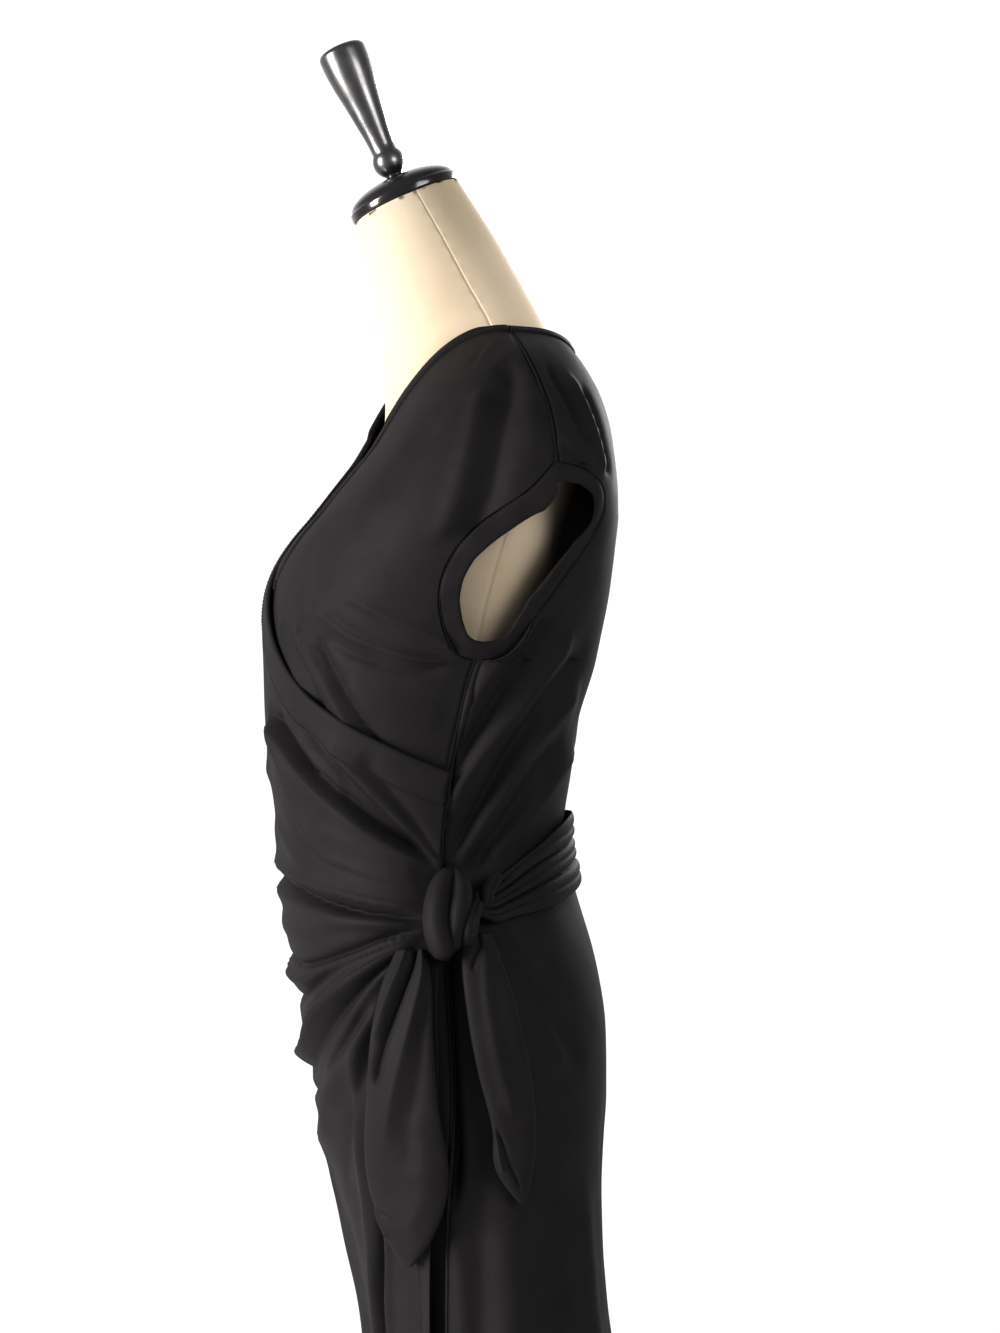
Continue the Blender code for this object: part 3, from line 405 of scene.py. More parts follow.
def lifted(angle, level, lift):
    points = ring_points(DRESS_RINGS, angle, level)
    return points + ring_normals(DRESS_RINGS, angle, level) * np.asarray(lift)[..., None]


def path_points(path, shares):
    """(angle, level) at shares of the length of a path given as (level, angle) rows."""
    rows = np.array(path, float)
    steps = np.hypot(np.diff(rows[:, 0]), MEAN_RADIUS * np.radians(np.diff(rows[:, 1])))
    lengths = np.concatenate([[0.0], np.cumsum(steps)])
    table = np.column_stack([lengths / lengths[-1], rows[:, 1], rows[:, 0]])
    return smooth_columns(table, np.asarray(shares, float))[:, 1:]


def rows_by_level(path, levels):
    return smooth_columns(path, np.asarray(levels, float))[:, ::-1]


def soft_step(value):
    value = np.clip(value, 0, 1)
    return value * value * (3 - 2 * value)


def relief(folds, across, along, bends_of):
    """Height of a table of folds over a flat layout of the cloth, all in metres."""
    height_map = np.zeros(np.broadcast(across, along).shape)
    across, along = across + height_map, along + height_map
    for height, above, below, crispness, first, last, places in folds:
        route = bends_of(places)
        reach = 0.0034 * max(above, below) * max(first, last, 1)
        low, high = route.min(axis=0) - reach, route.max(axis=0) + reach
        near = (across > low[0]) & (across < high[0]) & (along > low[1]) & (along < high[1])
        if not near.any():
            continue
        here = np.stack([across[near], along[near]], axis=-1)[:, None, :]
        step = np.diff(route, axis=0)
        share = np.clip(((here - route[:-1]) * step).sum(-1) / (step**2).sum(-1), 0, 1)
        gap = here - (route[:-1] + share[..., None] * step)
        apart = np.linalg.norm(gap, axis=-1)
        pick = apart.argmin(axis=1)
        row = np.arange(len(pick))
        side = step[pick, 0] * gap[row, pick, 1] - step[pick, 1] * gap[row, pick, 0]
        way = (pick + share[row, pick]) / len(step)
        width = np.where(side > 0, above, below) * (first + (last - first) * way) / 1000
        fade = soft_step(way / 0.14) * soft_step((1 - way) / 0.14)
        profile = np.exp(-((apart[row, pick] / width) ** crispness))
        height_map[near] += height / 1000 * fade * profile
    return height_map


def panel_route(places):
    bends = path_points(places, np.linspace(0, 1, 29))
    return np.column_stack([MEAN_RADIUS * np.radians(bends[:, 0]), bends[:, 1]])


def fold_lift(folds, angle, level):
    return relief(folds, MEAN_RADIUS * np.radians(angle), level, panel_route)


def unevenness(angle, level, size, seed):
    """Faint broad waves, so that no stretch of cloth is perfectly even."""
    dice = random.Random(seed)
    wave = np.zeros(np.broadcast(angle, level).shape)
    for _ in range(7):
        turn = dice.uniform(0, math.pi)
        pitch = dice.uniform(0.035, 0.11)
        u = MEAN_RADIUS * np.radians(angle) * math.cos(turn) + level * math.sin(turn)
        wave = wave + np.sin(2 * math.pi * u / pitch + dice.uniform(0, 6.3)) * pitch / 0.11
    return size * wave / 4


def clear_of_form(angle, level, lift, spare):
    """The lift, held back where it would sink the cloth into the form."""
    low, high = FORM_RINGS[0][0], FORM_RINGS[-1][0]
    at = np.clip(level, low, high)
    room = ring_points(DRESS_RINGS, angle, level) - ring_points(FORM_RINGS, angle, at)
    room = (room * ring_normals(DRESS_RINGS, angle, level)).sum(-1)
    floor = np.where(level > low, spare - np.maximum(room, 0), -1.0)
    return np.maximum(lift, floor)


def below_surplice(angle, level):
    rows = np.array(SURPLICE, float)
    order = np.argsort(rows[:, 1])
    return np.interp(angle, rows[order, 1], rows[order, 0]) - level


def seam_angle(level):
    clipped = np.clip(level, HEM_LEVEL, ARMPIT_LEVEL)
    return rows_by_level(SIDE_SEAM, clipped.ravel())[:, 0].reshape(clipped.shape)


def rise_from_seam(angle_in, level):
    """Share of its full height that a fold of the bodice has near the side seam, where it flattens."""
    angle_in = angle_in + np.maximum(level - ARMPIT_LEVEL, 0) * ARMHOLE_SPREAD
    share = 0.15 + 0.85 * soft_step(angle_in / 3.2)
    return 1 - (1 - share) * soft_step((level - 0.985) / 0.03)


def over_front_lift(angle, level):
    from_seam = angle + seam_angle(level) + np.maximum(level - ARMPIT_LEVEL, 0) * ARMHOLE_SPREAD
    rise = soft_step(from_seam / 6.0)
    on_chest = soft_step((level - 1.25) / 0.08)
    free = rows_by_level(FREE_EDGE, np.clip(level, HEM_LEVEL, 1.0).ravel())[:, 0].reshape(np.shape(level))
    flare = 0.0045 * np.exp(-(((free - angle) / 4.0) ** 2)) * soft_step((0.975 - level) / 0.05)
    folds = fold_lift(OVER_FRONT_FOLDS, angle, level) + unevenness(angle, level, 0.0007, 3)
    lift = OVER_LIFT * rise * (1 - 0.8 * on_chest) + folds * rise + flare
    return clear_of_form(angle, level, lift, OVER_SPARE)


def under_front_lift(angle, level):
    """The left front drops away where the right front lies on it, and follows its deep folds."""
    hidden = soft_step((below_surplice(angle, level) - 0.004) / 0.020)
    folds = fold_lift(UNDER_FRONT_FOLDS, angle, level) + unevenness(angle, level, 0.0006, 5)
    cover = np.minimum(over_front_lift(angle, level) - OVER_LIFT, 0.0)
    rise = rise_from_seam(seam_angle(level) - angle, level)
    lift = folds * rise * (1 - 0.7 * hidden) + (cover - UNDER_SINK) * hidden
    return clear_of_form(angle, level, lift, UNDER_SPARE)


def back_lift(angle, level):
    seam = seam_angle(level)
    rise = rise_from_seam(np.minimum(angle - seam, 360 - seam - angle), level)
    lift = fold_lift(BACK_FOLDS, angle, level) * rise + unevenness(angle, level, 0.0007, 8)
    return clear_of_form(angle, level, lift, UNDER_SPARE)


# ---- finishes


def shader_nodes(name, roughness, metallic=0.0, **constants):
    material = bpy.data.materials.new(name)
    material.use_nodes = True
    nodes, links = material.node_tree.nodes, material.node_tree.links
    shader = nodes["Principled BSDF"]
    shader.inputs["Roughness"].default_value = roughness
    shader.inputs["Metallic"].default_value = metallic
    for socket, value in constants.items():
        shader.inputs[socket.replace("_", " ")].default_value = value
    place = nodes.new("ShaderNodeTexCoord").outputs["Object"]
    return material, nodes, links, shader, place


def noise(nodes, links, place, scale, detail=3.0, stretch=None):
    if stretch:
        mapping = nodes.new("ShaderNodeMapping")
        mapping.inputs["Scale"].default_value = stretch
        links.new(place, mapping.inputs["Vector"])
        place = mapping.outputs["Vector"]
    texture = nodes.new("ShaderNodeTexNoise")
    texture.inputs["Scale"].default_value = scale
    texture.inputs["Detail"].default_value = detail
    links.new(place, texture.inputs["Vector"])
    return texture.outputs["Fac"]


def colours(nodes, links, factor, stops):
    ramp = nodes.new("ShaderNodeValToRGB")
    ramp.color_ramp.elements[0].position, ramp.color_ramp.elements[1].position = stops[0][0], stops[-1][0]
    ramp.color_ramp.elements[0].color = (*stops[0][1], 1)
    ramp.color_ramp.elements[1].color = (*stops[-1][1], 1)
    for at, colour in stops[1:-1]:
        ramp.color_ramp.elements.new(at).color = (*colour, 1)
    links.new(factor, ramp.inputs["Fac"])
    return ramp.outputs["Color"]


def bump(nodes, links, height, distance, strength, under=None):
    raised = nodes.new("ShaderNodeBump")
    raised.inputs["Distance"].default_value = distance
    raised.inputs["Strength"].default_value = strength
    links.new(height, raised.inputs["Height"])
    if under:
        links.new(under, raised.inputs["Normal"])
    return raised.outputs["Normal"]


def jersey(name, dark, light, roughness):
    """Matte crepe jersey: a fine pebbled face, faintly mottled in tone."""
    material, nodes, links, shader, place = shader_nodes(
        name, roughness, Specular_IOR_Level=0.14
    )
    tone = noise(nodes, links, place, 38, 4)
    links.new(colours(nodes, links, tone, ((0.3, dark), (0.7, light))), shader.inputs["Base Color"])
    pebble = bump(nodes, links, noise(nodes, links, place, 1500, 2), 0.00022, 0.55)
    crepe = bump(nodes, links, noise(nodes, links, place, 420, 3, (1, 1, 0.45)), 0.0004, 0.30, pebble)
    links.new(crepe, shader.inputs["Normal"])
    return material


def canvas(name):
    """The form's cream cover: a close plain weave, a little warmer and darker in patches, with painted light
    and shade, darker toward the front and lighter toward the back.
    """
    material, nodes, links, shader, place = shader_nodes(
        name, 0.82, Sheen_Weight=0.15, Sheen_Roughness=0.5, Specular_IOR_Level=0.3
    )
    tone = noise(nodes, links, place, 14, 4)
    mottle = colours(nodes, links, tone, ((0.3, (0.93, 0.92, 0.90)), (0.75, (1.0, 1.0, 1.0))))
    parts = nodes.new("ShaderNodeSeparateXYZ")
    links.new(place, parts.inputs["Vector"])
    # Painted light and shade: the colour is painted darker toward the front, where the key lamp falls, and
    # lighter toward the back, which sits in shade.
    depth = nodes.new("ShaderNodeMapRange")
    depth.inputs["From Min"].default_value, depth.inputs["From Max"].default_value = -0.09, 0.10
    links.new(parts.outputs["Y"], depth.inputs["Value"])
    painted_fill_by_depth = colours(
        nodes, links, depth.outputs["Result"],
        ((0.0, (0.55, 0.505, 0.43)), (0.45, (0.63, 0.55, 0.435)), (1.0, (0.97, 0.85, 0.70))),
    )
    tinted = nodes.new("ShaderNodeMix")
    tinted.data_type, tinted.blend_type = "RGBA", "MULTIPLY"
    tinted.inputs["Factor"].default_value = 1.0
    links.new(painted_fill_by_depth, tinted.inputs["A"])
    links.new(mottle, tinted.inputs["B"])
    links.new(tinted.outputs["Result"], shader.inputs["Base Color"])
    weave = bump(nodes, links, noise(nodes, links, place, 900, 2, (1, 1, 2.2)), 0.0003, 0.35)
    slub = bump(nodes, links, noise(nodes, links, place, 160, 3, (1, 1, 3.0)), 0.0005, 0.16, weave)
    links.new(slub, shader.inputs["Normal"])
    return material


def lacquer(name, roughness, coat, dark, light, metallic):
    """Black lacquer on turned wood or steel, with a faint ripple and fine wear."""
    material, nodes, links, shader, place = shader_nodes(
        name, roughness, metallic, Coat_Weight=coat, Coat_Roughness=0.12, Specular_IOR_Level=0.5
    )
    tone = noise(nodes, links, place, 60, 5)
    links.new(
        colours(
            nodes, links, tone,
            ((0.35, (dark, dark, dark)), (0.75, (light, light * 0.97, light * 0.97))),
        ),
        shader.inputs["Base Color"],
    )
    rub = nodes.new("ShaderNodeMapRange")
    rub.inputs["To Min"].default_value = roughness * 0.75
    rub.inputs["To Max"].default_value = roughness * 1.45
    links.new(noise(nodes, links, place, 110, 4), rub.inputs["Value"])
    links.new(rub.outputs["Result"], shader.inputs["Roughness"])
    links.new(bump(nodes, links, noise(nodes, links, place, 90, 2), 0.0004, 0.12), shader.inputs["Normal"])
    return material


def painted_steel(name):
    material, nodes, links, shader, place = shader_nodes(name, 0.36, 1.0)
    brushed = noise(nodes, links, place, 260, 3, (1, 1, 0.05))
    links.new(
        colours(nodes, links, brushed, ((0.3, (0.030, 0.030, 0.031)), (0.7, (0.060, 0.060, 0.062)))),
        shader.inputs["Base Color"],
    )
    links.new(bump(nodes, links, brushed, 0.0002, 0.2), shader.inputs["Normal"])
    return material


def plain(name, colour, roughness):
    material, nodes, links, shader, place = shader_nodes(name, roughness)
    tone = noise(nodes, links, place, 2.0, 2)
    links.new(
        colours(nodes, links, tone, ((0.0, tuple(c * 0.985 for c in colour)), (1.0, colour))),
        shader.inputs["Base Color"],
    )
    return material


# ---- making pieces


def finished(name, mesh, material, nodes=(), body="root"):
    data = bpy.data.meshes.new(name)
    mesh.normal_update()
    mesh.to_mesh(data)
    mesh.free()
    data.materials.append(material)
    data.shade_smooth()
    piece = bpy.data.objects.new(name, data)
    bpy.context.scene.collection.objects.link(piece)
    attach(piece, body)
    if nodes:
        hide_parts(*nodes)
    return piece


def laid_grid(points, loop=False):
    rows, columns = points.shape[:2]
    mesh = bmesh.new()
    bmesh.ops.create_grid(mesh, x_segments=columns - 1, y_segments=rows - 1, size=1.0)
    mesh.verts.ensure_lookup_table()
    for vert, place in zip(mesh.verts, points.reshape(-1, 3)):
        vert.co = place
    if loop:
        bmesh.ops.remove_doubles(mesh, verts=mesh.verts, dist=1e-6)
    return mesh


def cloth(name, points, nodes, loop=False, wall=CLOTH):
    """A shell of jersey whose inner face passes through a grid of points, rows up and columns round."""
    piece = finished(name, laid_grid(points, loop), JERSEY, nodes)
    thickness = piece.modifiers.new("wall", "SOLIDIFY")
    thickness.thickness = wall
    thickness.offset = 1.0
    return piece


def ruled(starts, ends, shares):
    grid = starts[:, None, :] + (ends - starts)[:, None, :] * np.asarray(shares)[None, :, None]
    return grid[..., 0], grid[..., 1]


def shares_across(count, lean):
    """Even shares with a few close ones at both edges, drawn toward one edge by the lean."""
    middle = np.linspace(0.012, 0.988, count - 6) ** lean
    return np.concatenate([[0, 0.003, 0.007], middle, [0.993, 0.997, 1.0]])


def seam_dip(across, length):
    """How far a panel's edge turns down into its seam."""
    gap = np.minimum(across, 1 - across) * length
    return -0.0004 * np.exp(-((gap / 0.0010) ** 2))


def shoulder_dip(rows):
    """How far a front's top row turns down into the shoulder seam."""
    below_top = 1 - np.linspace(0, 1, rows)[:, None]
    return -0.0008 * np.exp(-((below_top * rows / 1.2) ** 2))


def front_grid(skirt_rows, drape_rows, catch_rows, rise_rows, armhole_rows, shares, slow):
    levels = np.concatenate([
        np.linspace(HEM_LEVEL, 0.80, skirt_rows, endpoint=False),
        np.linspace(0.80, 1.03, drape_rows, endpoint=False),
        np.linspace(1.03, CATCH_LEVEL, catch_rows),
    ])
    seam = rows_by_level(SIDE_SEAM, levels)
    free = np.where((levels < 1.0)[:, None], rows_by_level(FREE_EDGE, levels), seam)
    rise = np.linspace(CATCH_LEVEL, ARMPIT_LEVEL, rise_rows + 1)[1:]
    side = np.concatenate([
        seam,
        rows_by_level(SIDE_SEAM, rise),
        path_points(ARMHOLE_FRONT, np.linspace(0, 1, armhole_rows + 1)[1:]),
    ])
    fanned = rise_rows + armhole_rows
    edge = np.concatenate([free, path_points(SURPLICE, np.linspace(0, 1, fanned + 1)[1:] ** slow)])
    side[:, 0] = GAP_ANGLE - side[:, 0]
    side[-1, 1] = CAP_EDGE_LEVEL
    edge[-1, 0] += GAP_ANGLE
    return ruled(side, edge, shares)


def back_grid(seam_rows, armhole_rows, shoulder_rows, shares):
    side = np.concatenate([
        rows_by_level(SIDE_SEAM, np.linspace(HEM_LEVEL, ARMPIT_LEVEL, seam_rows)),
        path_points(ARMHOLE_BACK, np.linspace(0, 1, armhole_rows + 1)[1:]),
        np.column_stack([
            np.full(shoulder_rows, 90.0), np.linspace(CAP_EDGE_LEVEL, NECK_LEVEL, shoulder_rows + 1)[1:]
        ]),
    ])
    left = side + [GAP_ANGLE, 0]
    right = np.column_stack([360 - left[:, 0], left[:, 1]])
    return ruled(left, right, shares)


def slide(angle, level, move):
    """Where a small move in space, along the cloth, leads from (angle, level)."""
    round_way, up_way, span = surface_ways(DRESS_RINGS, angle, level)
    up_way /= span[..., None]
    rr, ru, uu = (round_way**2).sum(-1), (round_way * up_way).sum(-1), (up_way**2).sum(-1)
    rm, um = (round_way * move).sum(-1), (up_way * move).sum(-1)
    det = rr * uu - ru * ru
    return angle + (rm * uu - um * ru) / det, level + (um * rr - rm * ru) / det


def edge_strip(edge, width, side, shares):
    """A path of (angle, level) rows, copied sideways on the cloth at shares of a width for each row."""
    angle, level = edge[:, 0], edge[:, 1]
    along = np.gradient(ring_points(DRESS_RINGS, angle, level), axis=0)
    across = np.cross(along, ring_normals(DRESS_RINGS, angle, level)) * side
    across /= np.linalg.norm(across, axis=1)[:, None]
    strips = [
        np.column_stack(slide(angle, level, across * (width * share)[:, None])) for share in shares
    ]
    return np.stack(strips, axis=1)


# ---- the dress


def make_fronts():
    shares = shares_across(138, 0.72)
    angle, level = front_grid(48, 104, 30, 56, 110, shares, 1.22)
    lift = over_front_lift(angle, level) + seam_dip(shares, 0.45)[None, :] * (shares < 0.5)[None, :]
    lift += shoulder_dip(len(level))
    over = cloth("right_front_panel", lifted(angle, level, lift), ["right_front"])
    shares = shares_across(128, 1.25)
    angle, level = front_grid(34, 40, 24, 50, 120, shares, 1.1)
    lift_angle, lift_level = -angle[:, ::-1], level[:, ::-1]
    lift = under_front_lift(lift_angle, lift_level)
    lift += seam_dip(shares, 0.40)[None, ::-1] * (shares[::-1] < 0.5)[None, :]
    lift += shoulder_dip(len(level))
    under = cloth("left_front_panel", lifted(lift_angle, lift_level, lift), ["left_front"])


def make_back():
    shares = shares_across(124, 1.18)
    angle, level = back_grid(128, 44, 26, shares)
    lift = back_lift(angle, level) + seam_dip(shares, 0.50)[None, :]
    panel = cloth("back_panel", lifted(angle, level, lift), ["back"])


def surplice_band_width(shares):
    """The front edge's band is wide over the wrap and narrows to a binding at the neck."""
    return NECK_BAND_WIDTH + (WRAP_BAND_WIDTH - NECK_BAND_WIDTH) * soft_step((0.62 - shares) / 0.2)


def make_neck_bands():
    """Each front's folded edge, stitched down along its lower side, and the binding of the back neck."""
    across = np.array([-0.035, -0.05, -0.03, 0.0, 0.06, 0.15, 0.30, 0.45, 0.60, 0.75, 0.88, 0.96, 1.0, 1.02])
    rolled = np.array([-0.9, 0.3, 1.2, 1.7, 1.9, 1.8, 1.6, 1.5, 1.5, 1.5, 1.6, 1.3, 0.5, -0.6]) / 1000
    shares = np.linspace(0, 0.999, 340)
    edge = path_points(SURPLICE, shares)
    width = surplice_band_width(shares)
    strip = edge_strip(edge, width, -1, across)
    seam = rows_by_level(SIDE_SEAM, np.clip(strip[..., 1], HEM_LEVEL, ARMPIT_LEVEL).ravel())[:, 0]
    strip[..., 0] = np.minimum(strip[..., 0], seam.reshape(strip.shape[:2]) - 0.25)
    for name, mirror, lift_of, size in (
        ("right_front_band", 1, over_front_lift, (0.021, 0.60)),
        ("left_front_band", -1, under_front_lift, (0.013, 0.34)),
    ):
        place = strip if mirror == 1 else strip[edge[:, 1] > LEFT_BAND_LEVEL] * [-1, 1]
        lift = lift_of(place[..., 0], np.minimum(place[..., 1], NECK_LEVEL)) + rolled[None, :] + BAND_SEAT
        place, lift = (place[:, ::-1], lift[:, ::-1]) if mirror == 1 else (place, lift)
        points = lifted(place[..., 0], place[..., 1], lift)
        piece = cloth(name + "_cloth", points, [name], wall=BINDING_WALL)
    angles = np.linspace(90.1, 269.9, 134)
    edge = np.column_stack([angles, np.full(len(angles), NECK_LEVEL)])
    strip = edge_strip(edge, np.full(len(angles), NECK_BAND_WIDTH), 1, across)[:, ::-1].transpose(1, 0, 2)
    lift = back_lift(strip[..., 0], strip[..., 1]) + rolled[::-1, None] + BAND_SEAT
    points = lifted(strip[..., 0], strip[..., 1], lift)
    piece = cloth("back_neck_binding", points, ["back_neck_band"], wall=BINDING_WALL)


def armhole_loop(count):
    front = path_points(ARMHOLE_FRONT, np.linspace(0, 1, count)[:-1])
    back = path_points(ARMHOLE_BACK, np.linspace(0, 1, count)[:0:-1])
    return np.concatenate([front, back])


def moved_in(loop, width):
    """A closed path of (angle, level) rows moved in by a width, toward its middle."""
    points = ring_points(DRESS_RINGS, loop[:, 0], loop[:, 1])
    inward = points.mean(axis=0) - points
    reach = np.linalg.norm(inward, axis=1)
    along = np.roll(points, -1, axis=0) - np.roll(points, 1, axis=0)
    squareness = np.linalg.norm(np.cross(along, inward), axis=1) / np.linalg.norm(along, axis=1) / reach
    share = width / (reach * np.clip(squareness, 0.6, 1.0))
    return loop + (loop.mean(axis=0) - loop) * share[:, None]


def make_armhole_bands():
    edge = armhole_loop(111)
    across = np.array([-0.9, -0.3, 0.2, 1.2, 3.2, 5.5, 8.0, 10.5, 12.6, 13.9, 14.6, 14.9, 14.5]) / 1000
    rolled = np.array([-0.6, 0.1, 0.6, 1.0, 1.2, 1.4, 1.5, 1.7, 1.8, 1.6, 1.0, 0.2, -0.8]) / 1000
    rings = [moved_in(edge, width) for width in across]
    loop = np.stack([np.concatenate([ring, ring[:1]]) for ring in rings])
    round_share = np.linspace(0, 2 * math.pi, loop.shape[1])
    wave = 0.0005 * np.sin(5 * round_share + 0.6) + 0.0004 * np.sin(11 * round_share)
    for side, mirror in (("left", 1), ("right", -1)):
        place = loop * [mirror, 1]
        lift = rolled[:, None] + wave[None, :] * np.sin(np.linspace(0, math.pi, len(across)))[:, None]
        if mirror == -1:
            place, lift = place[:, ::-1], lift[:, ::-1]
        points = lifted(place[..., 0], place[..., 1], lift)
        points[:, -1] = points[:, 0]
        name = side + "_armhole"
        piece = cloth(name + "_binding", points, [name + "_band"], loop=True, wall=ARMHOLE_WALL)


# Creases between the tie's strands: seat up its width (share), depth (m), width (share).
TIE_CREASES = (
    (0.34, 0.0046, 0.035),
    (0.66, 0.0052, 0.030),
    (0.16, 0.0018, 0.028),
    (0.50, 0.0016, 0.025),
    (0.84, 0.0020, 0.030),
)


def make_tie():
    """The long tie round the back, gathered in three strands that pinch together at the knot."""
    angles = np.linspace(BACK_TIE[0][0], BACK_TIE[-1][0], 250)
    _, top, bottom, base = np.moveaxis(smooth_columns(BACK_TIE, angles), -1, 0)
    across = np.linspace(0, 1, 43)[:, None]
    level = bottom + (top - bottom) * across
    drift = 0.05 * np.sin(np.radians(angles - 90) * 3.1) + 0.03 * np.sin(np.radians(angles) * 7)
    strands = np.zeros(level.shape)
    for seat, depth, thin in TIE_CREASES:
        strands -= depth * np.exp(-(np.abs((across - seat - drift * (0.4 + seat)) / thin) ** 1.3))
    roll = 0.0035 * np.minimum(1, 5 * np.minimum(across, 1 - across)) ** 0.5
    angle = np.broadcast_to(angles, level.shape)
    lift = back_lift(angle, level) * 0.4 + base + strands * soft_step((angles - 92) / 6) + roll - 0.001
    piece = cloth("back_tie_cloth", lifted(angle, level, lift), ["back_tie"])


def tail_route(places):
    rows = np.array(places, float)
    fine = smooth_columns(np.column_stack([np.linspace(0, 1, len(rows)), rows]), np.linspace(0, 1, 21))
    return fine[:, 2:0:-1] * [0.06, 0.25]


# Folds of a hanging end: as for a panel, with (share down, share across) places.
FRONT_TAIL_FOLDS = (
    (-6.5, 4.5, 3.5, 1.5, 0.7, 1.2, (
        (-0.06, 0.72), (0.04, 0.64), (0.12, 0.50), (0.20, 0.36), (0.30, 0.22), (0.38, 0.16),
    )),
    (3.5, 4.0, 6, 1.6, 0.8, 1.3, ((-0.04, 0.40), (0.06, 0.34), (0.16, 0.20), (0.26, 0.10))),
    (4.0, 7.0, 5, 1.6, 0.6, 1.6, ((-0.06, 0.92), (0.08, 0.84), (0.22, 0.66), (0.38, 0.46), (0.55, 0.34))),
    (-2.5, 6, 7, 1.8, 0.8, 1.4, ((0.10, 0.90), (0.28, 0.82), (0.45, 0.66), (0.62, 0.58))),
    (-2.5, 2.2, 3.0, 1.3, 0.8, 1.0, ((0.745, -0.05), (0.78, 0.12), (0.80, 0.30), (0.83, 0.42))),
    (2.5, 4.0, 4.0, 1.6, 0.8, 1.0, ((0.78, 0.00), (0.84, 0.10), (0.90, 0.18))),
    (2.0, 8, 8, 1.8, 1.0, 1.0, ((0.40, 0.70), (0.55, 0.76), (0.72, 0.74), (0.86, 0.62))),
)
BACK_TAIL_FOLDS = (
    (-3.0, 2.6, 3.0, 1.4, 0.8, 1.0, ((-0.06, 0.55), (0.03, 0.50), (0.08, 0.34), (0.12, 0.20))),
    (2.6, 6.0, 8.0, 1.8, 0.9, 1.2, ((0.02, 0.62), (0.20, 0.44), (0.45, 0.40), (0.72, 0.42))),
    (-2.6, 2.0, 3.0, 1.4, 0.8, 1.0, ((0.74, 0.06), (0.81, 0.22), (0.88, 0.34), (0.96, 0.50))),
    (2.0, 3.0, 3.0, 1.6, 0.8, 1.0, ((0.72, 0.00), (0.80, 0.08), (0.90, 0.18))),
)


def make_tails():
    """The knot's two hanging ends, each a tube of jersey pressed nearly flat and closed at its point."""
    for name, table, folds, size, area, puff in (
        ("front_tail", FRONT_TAIL, FRONT_TAIL_FOLDS, (0.078, 0.275), 0.0150, 0.0065),
        ("back_tail", BACK_TAIL, BACK_TAIL_FOLDS, (0.045, 0.215), 0.0078, 0.0055),
    ):
        _, level, left, right, base = np.moveaxis(smooth_columns(table, np.linspace(1, 0, 150)), -1, 0)
        down = np.linspace(1, 0, 150)[:, None]
        across = np.linspace(0, 1, 61)[None, :]
        round_edge = (1 - np.abs(2 * across - 1) ** 3.2) ** 0.5
        tip = np.minimum(1, (1 - down) / 0.10) ** 0.5
        angle = left[:, None] + (right - left)[:, None] * across
        level = level[:, None] + 0 * angle
        shape = relief(folds, across * 0.06, down * 0.25 + 0 * across, tail_route)
        shape = shape * np.minimum(1, round_edge * 1.2)
        outer = base[:, None] + puff * round_edge * tip + shape * tip
        inner = base[:, None] - 0.0016 * round_edge * tip
        outer_points, inner_points = lifted(angle, level, outer), lifted(angle, level, inner)
        tube = [outer_points, inner_points[:, -2:0:-1], outer_points[:, :1]]
        mesh = laid_grid(np.concatenate(tube, axis=1))
        bmesh.ops.remove_doubles(mesh, verts=mesh.verts, dist=2e-5)
        bmesh.ops.holes_fill(mesh, edges=[edge for edge in mesh.edges if edge.is_boundary])
        bmesh.ops.recalc_face_normals(mesh, faces=mesh.faces)
        piece = finished(name + "_cloth", mesh, JERSEY, [name])


# ---- the knot


# Strands: name, places as (level, angle, lift), sizes as (share, half_width, half_depth), creases as
# (depth, width, turn at the start, turn at the end) round the strand, in degrees from its outer crest.
STRANDS = (
    (
        "knot_outer_strand",
        (
            (1.024, 88.2, 0.010), (1.016, 85.2, 0.0165), (1.002, 82.6, 0.0215), (0.984, 80.8, 0.0220),
            (0.969, 80.6, 0.0190), (0.957, 81.6, 0.0130),
        ),
        (
            (0.0, 0.0040, 0.0050), (0.12, 0.0070, 0.0110), (0.35, 0.0098, 0.0147), (0.60, 0.0110, 0.0153),
            (0.85, 0.0098, 0.0138), (1.0, 0.0060, 0.0070),
        ),
        ((0.0012, 14, -30, -55),),
    ),
    (
        "knot_inner_strand",
        (
            (1.024, 88.6, 0.010), (1.017, 89.0, 0.0150), (1.004, 88.4, 0.0205), (0.988, 86.4, 0.0225),
            (0.974, 84.4, 0.0190), (0.962, 83.4, 0.0130),
        ),
        (
            (0.0, 0.0040, 0.0050), (0.15, 0.0072, 0.0110), (0.40, 0.0102, 0.0147), (0.65, 0.0094, 0.0145),
            (0.88, 0.0070, 0.0110), (1.0, 0.0045, 0.0060),
        ),
        ((0.0010, 12, 40, 20),),
    ),
    (
        "knot_side_strand",
        (
            (1.000, 93.5, 0.013), (0.995, 91.2, 0.0220), (0.986, 89.6, 0.0270), (0.975, 88.2, 0.0265),
            (0.965, 86.8, 0.0185),
        ),
        (
            (0.0, 0.0030, 0.0030), (0.2, 0.0052, 0.0060), (0.5, 0.0066, 0.0072), (0.8, 0.0060, 0.0064),
            (1.0, 0.0035, 0.0035),
        ),
        ((0.0014, 15, 20, -25),),
    ),
    (
        "knot_tucked_fold",
        (
            (0.993, 93.0, 0.0120), (1.000, 95.0, 0.0160), (1.009, 96.6, 0.0165), (1.016, 99.6, 0.0140),
            (1.020, 103.0, 0.0110),
        ),
        (
            (0.0, 0.0028, 0.0028), (0.25, 0.0050, 0.0044), (0.55, 0.0058, 0.0046), (0.8, 0.0050, 0.0036),
            (1.0, 0.0030, 0.0020),
        ),
        ((0.0016, 18, 30, -10),),
    ),
)


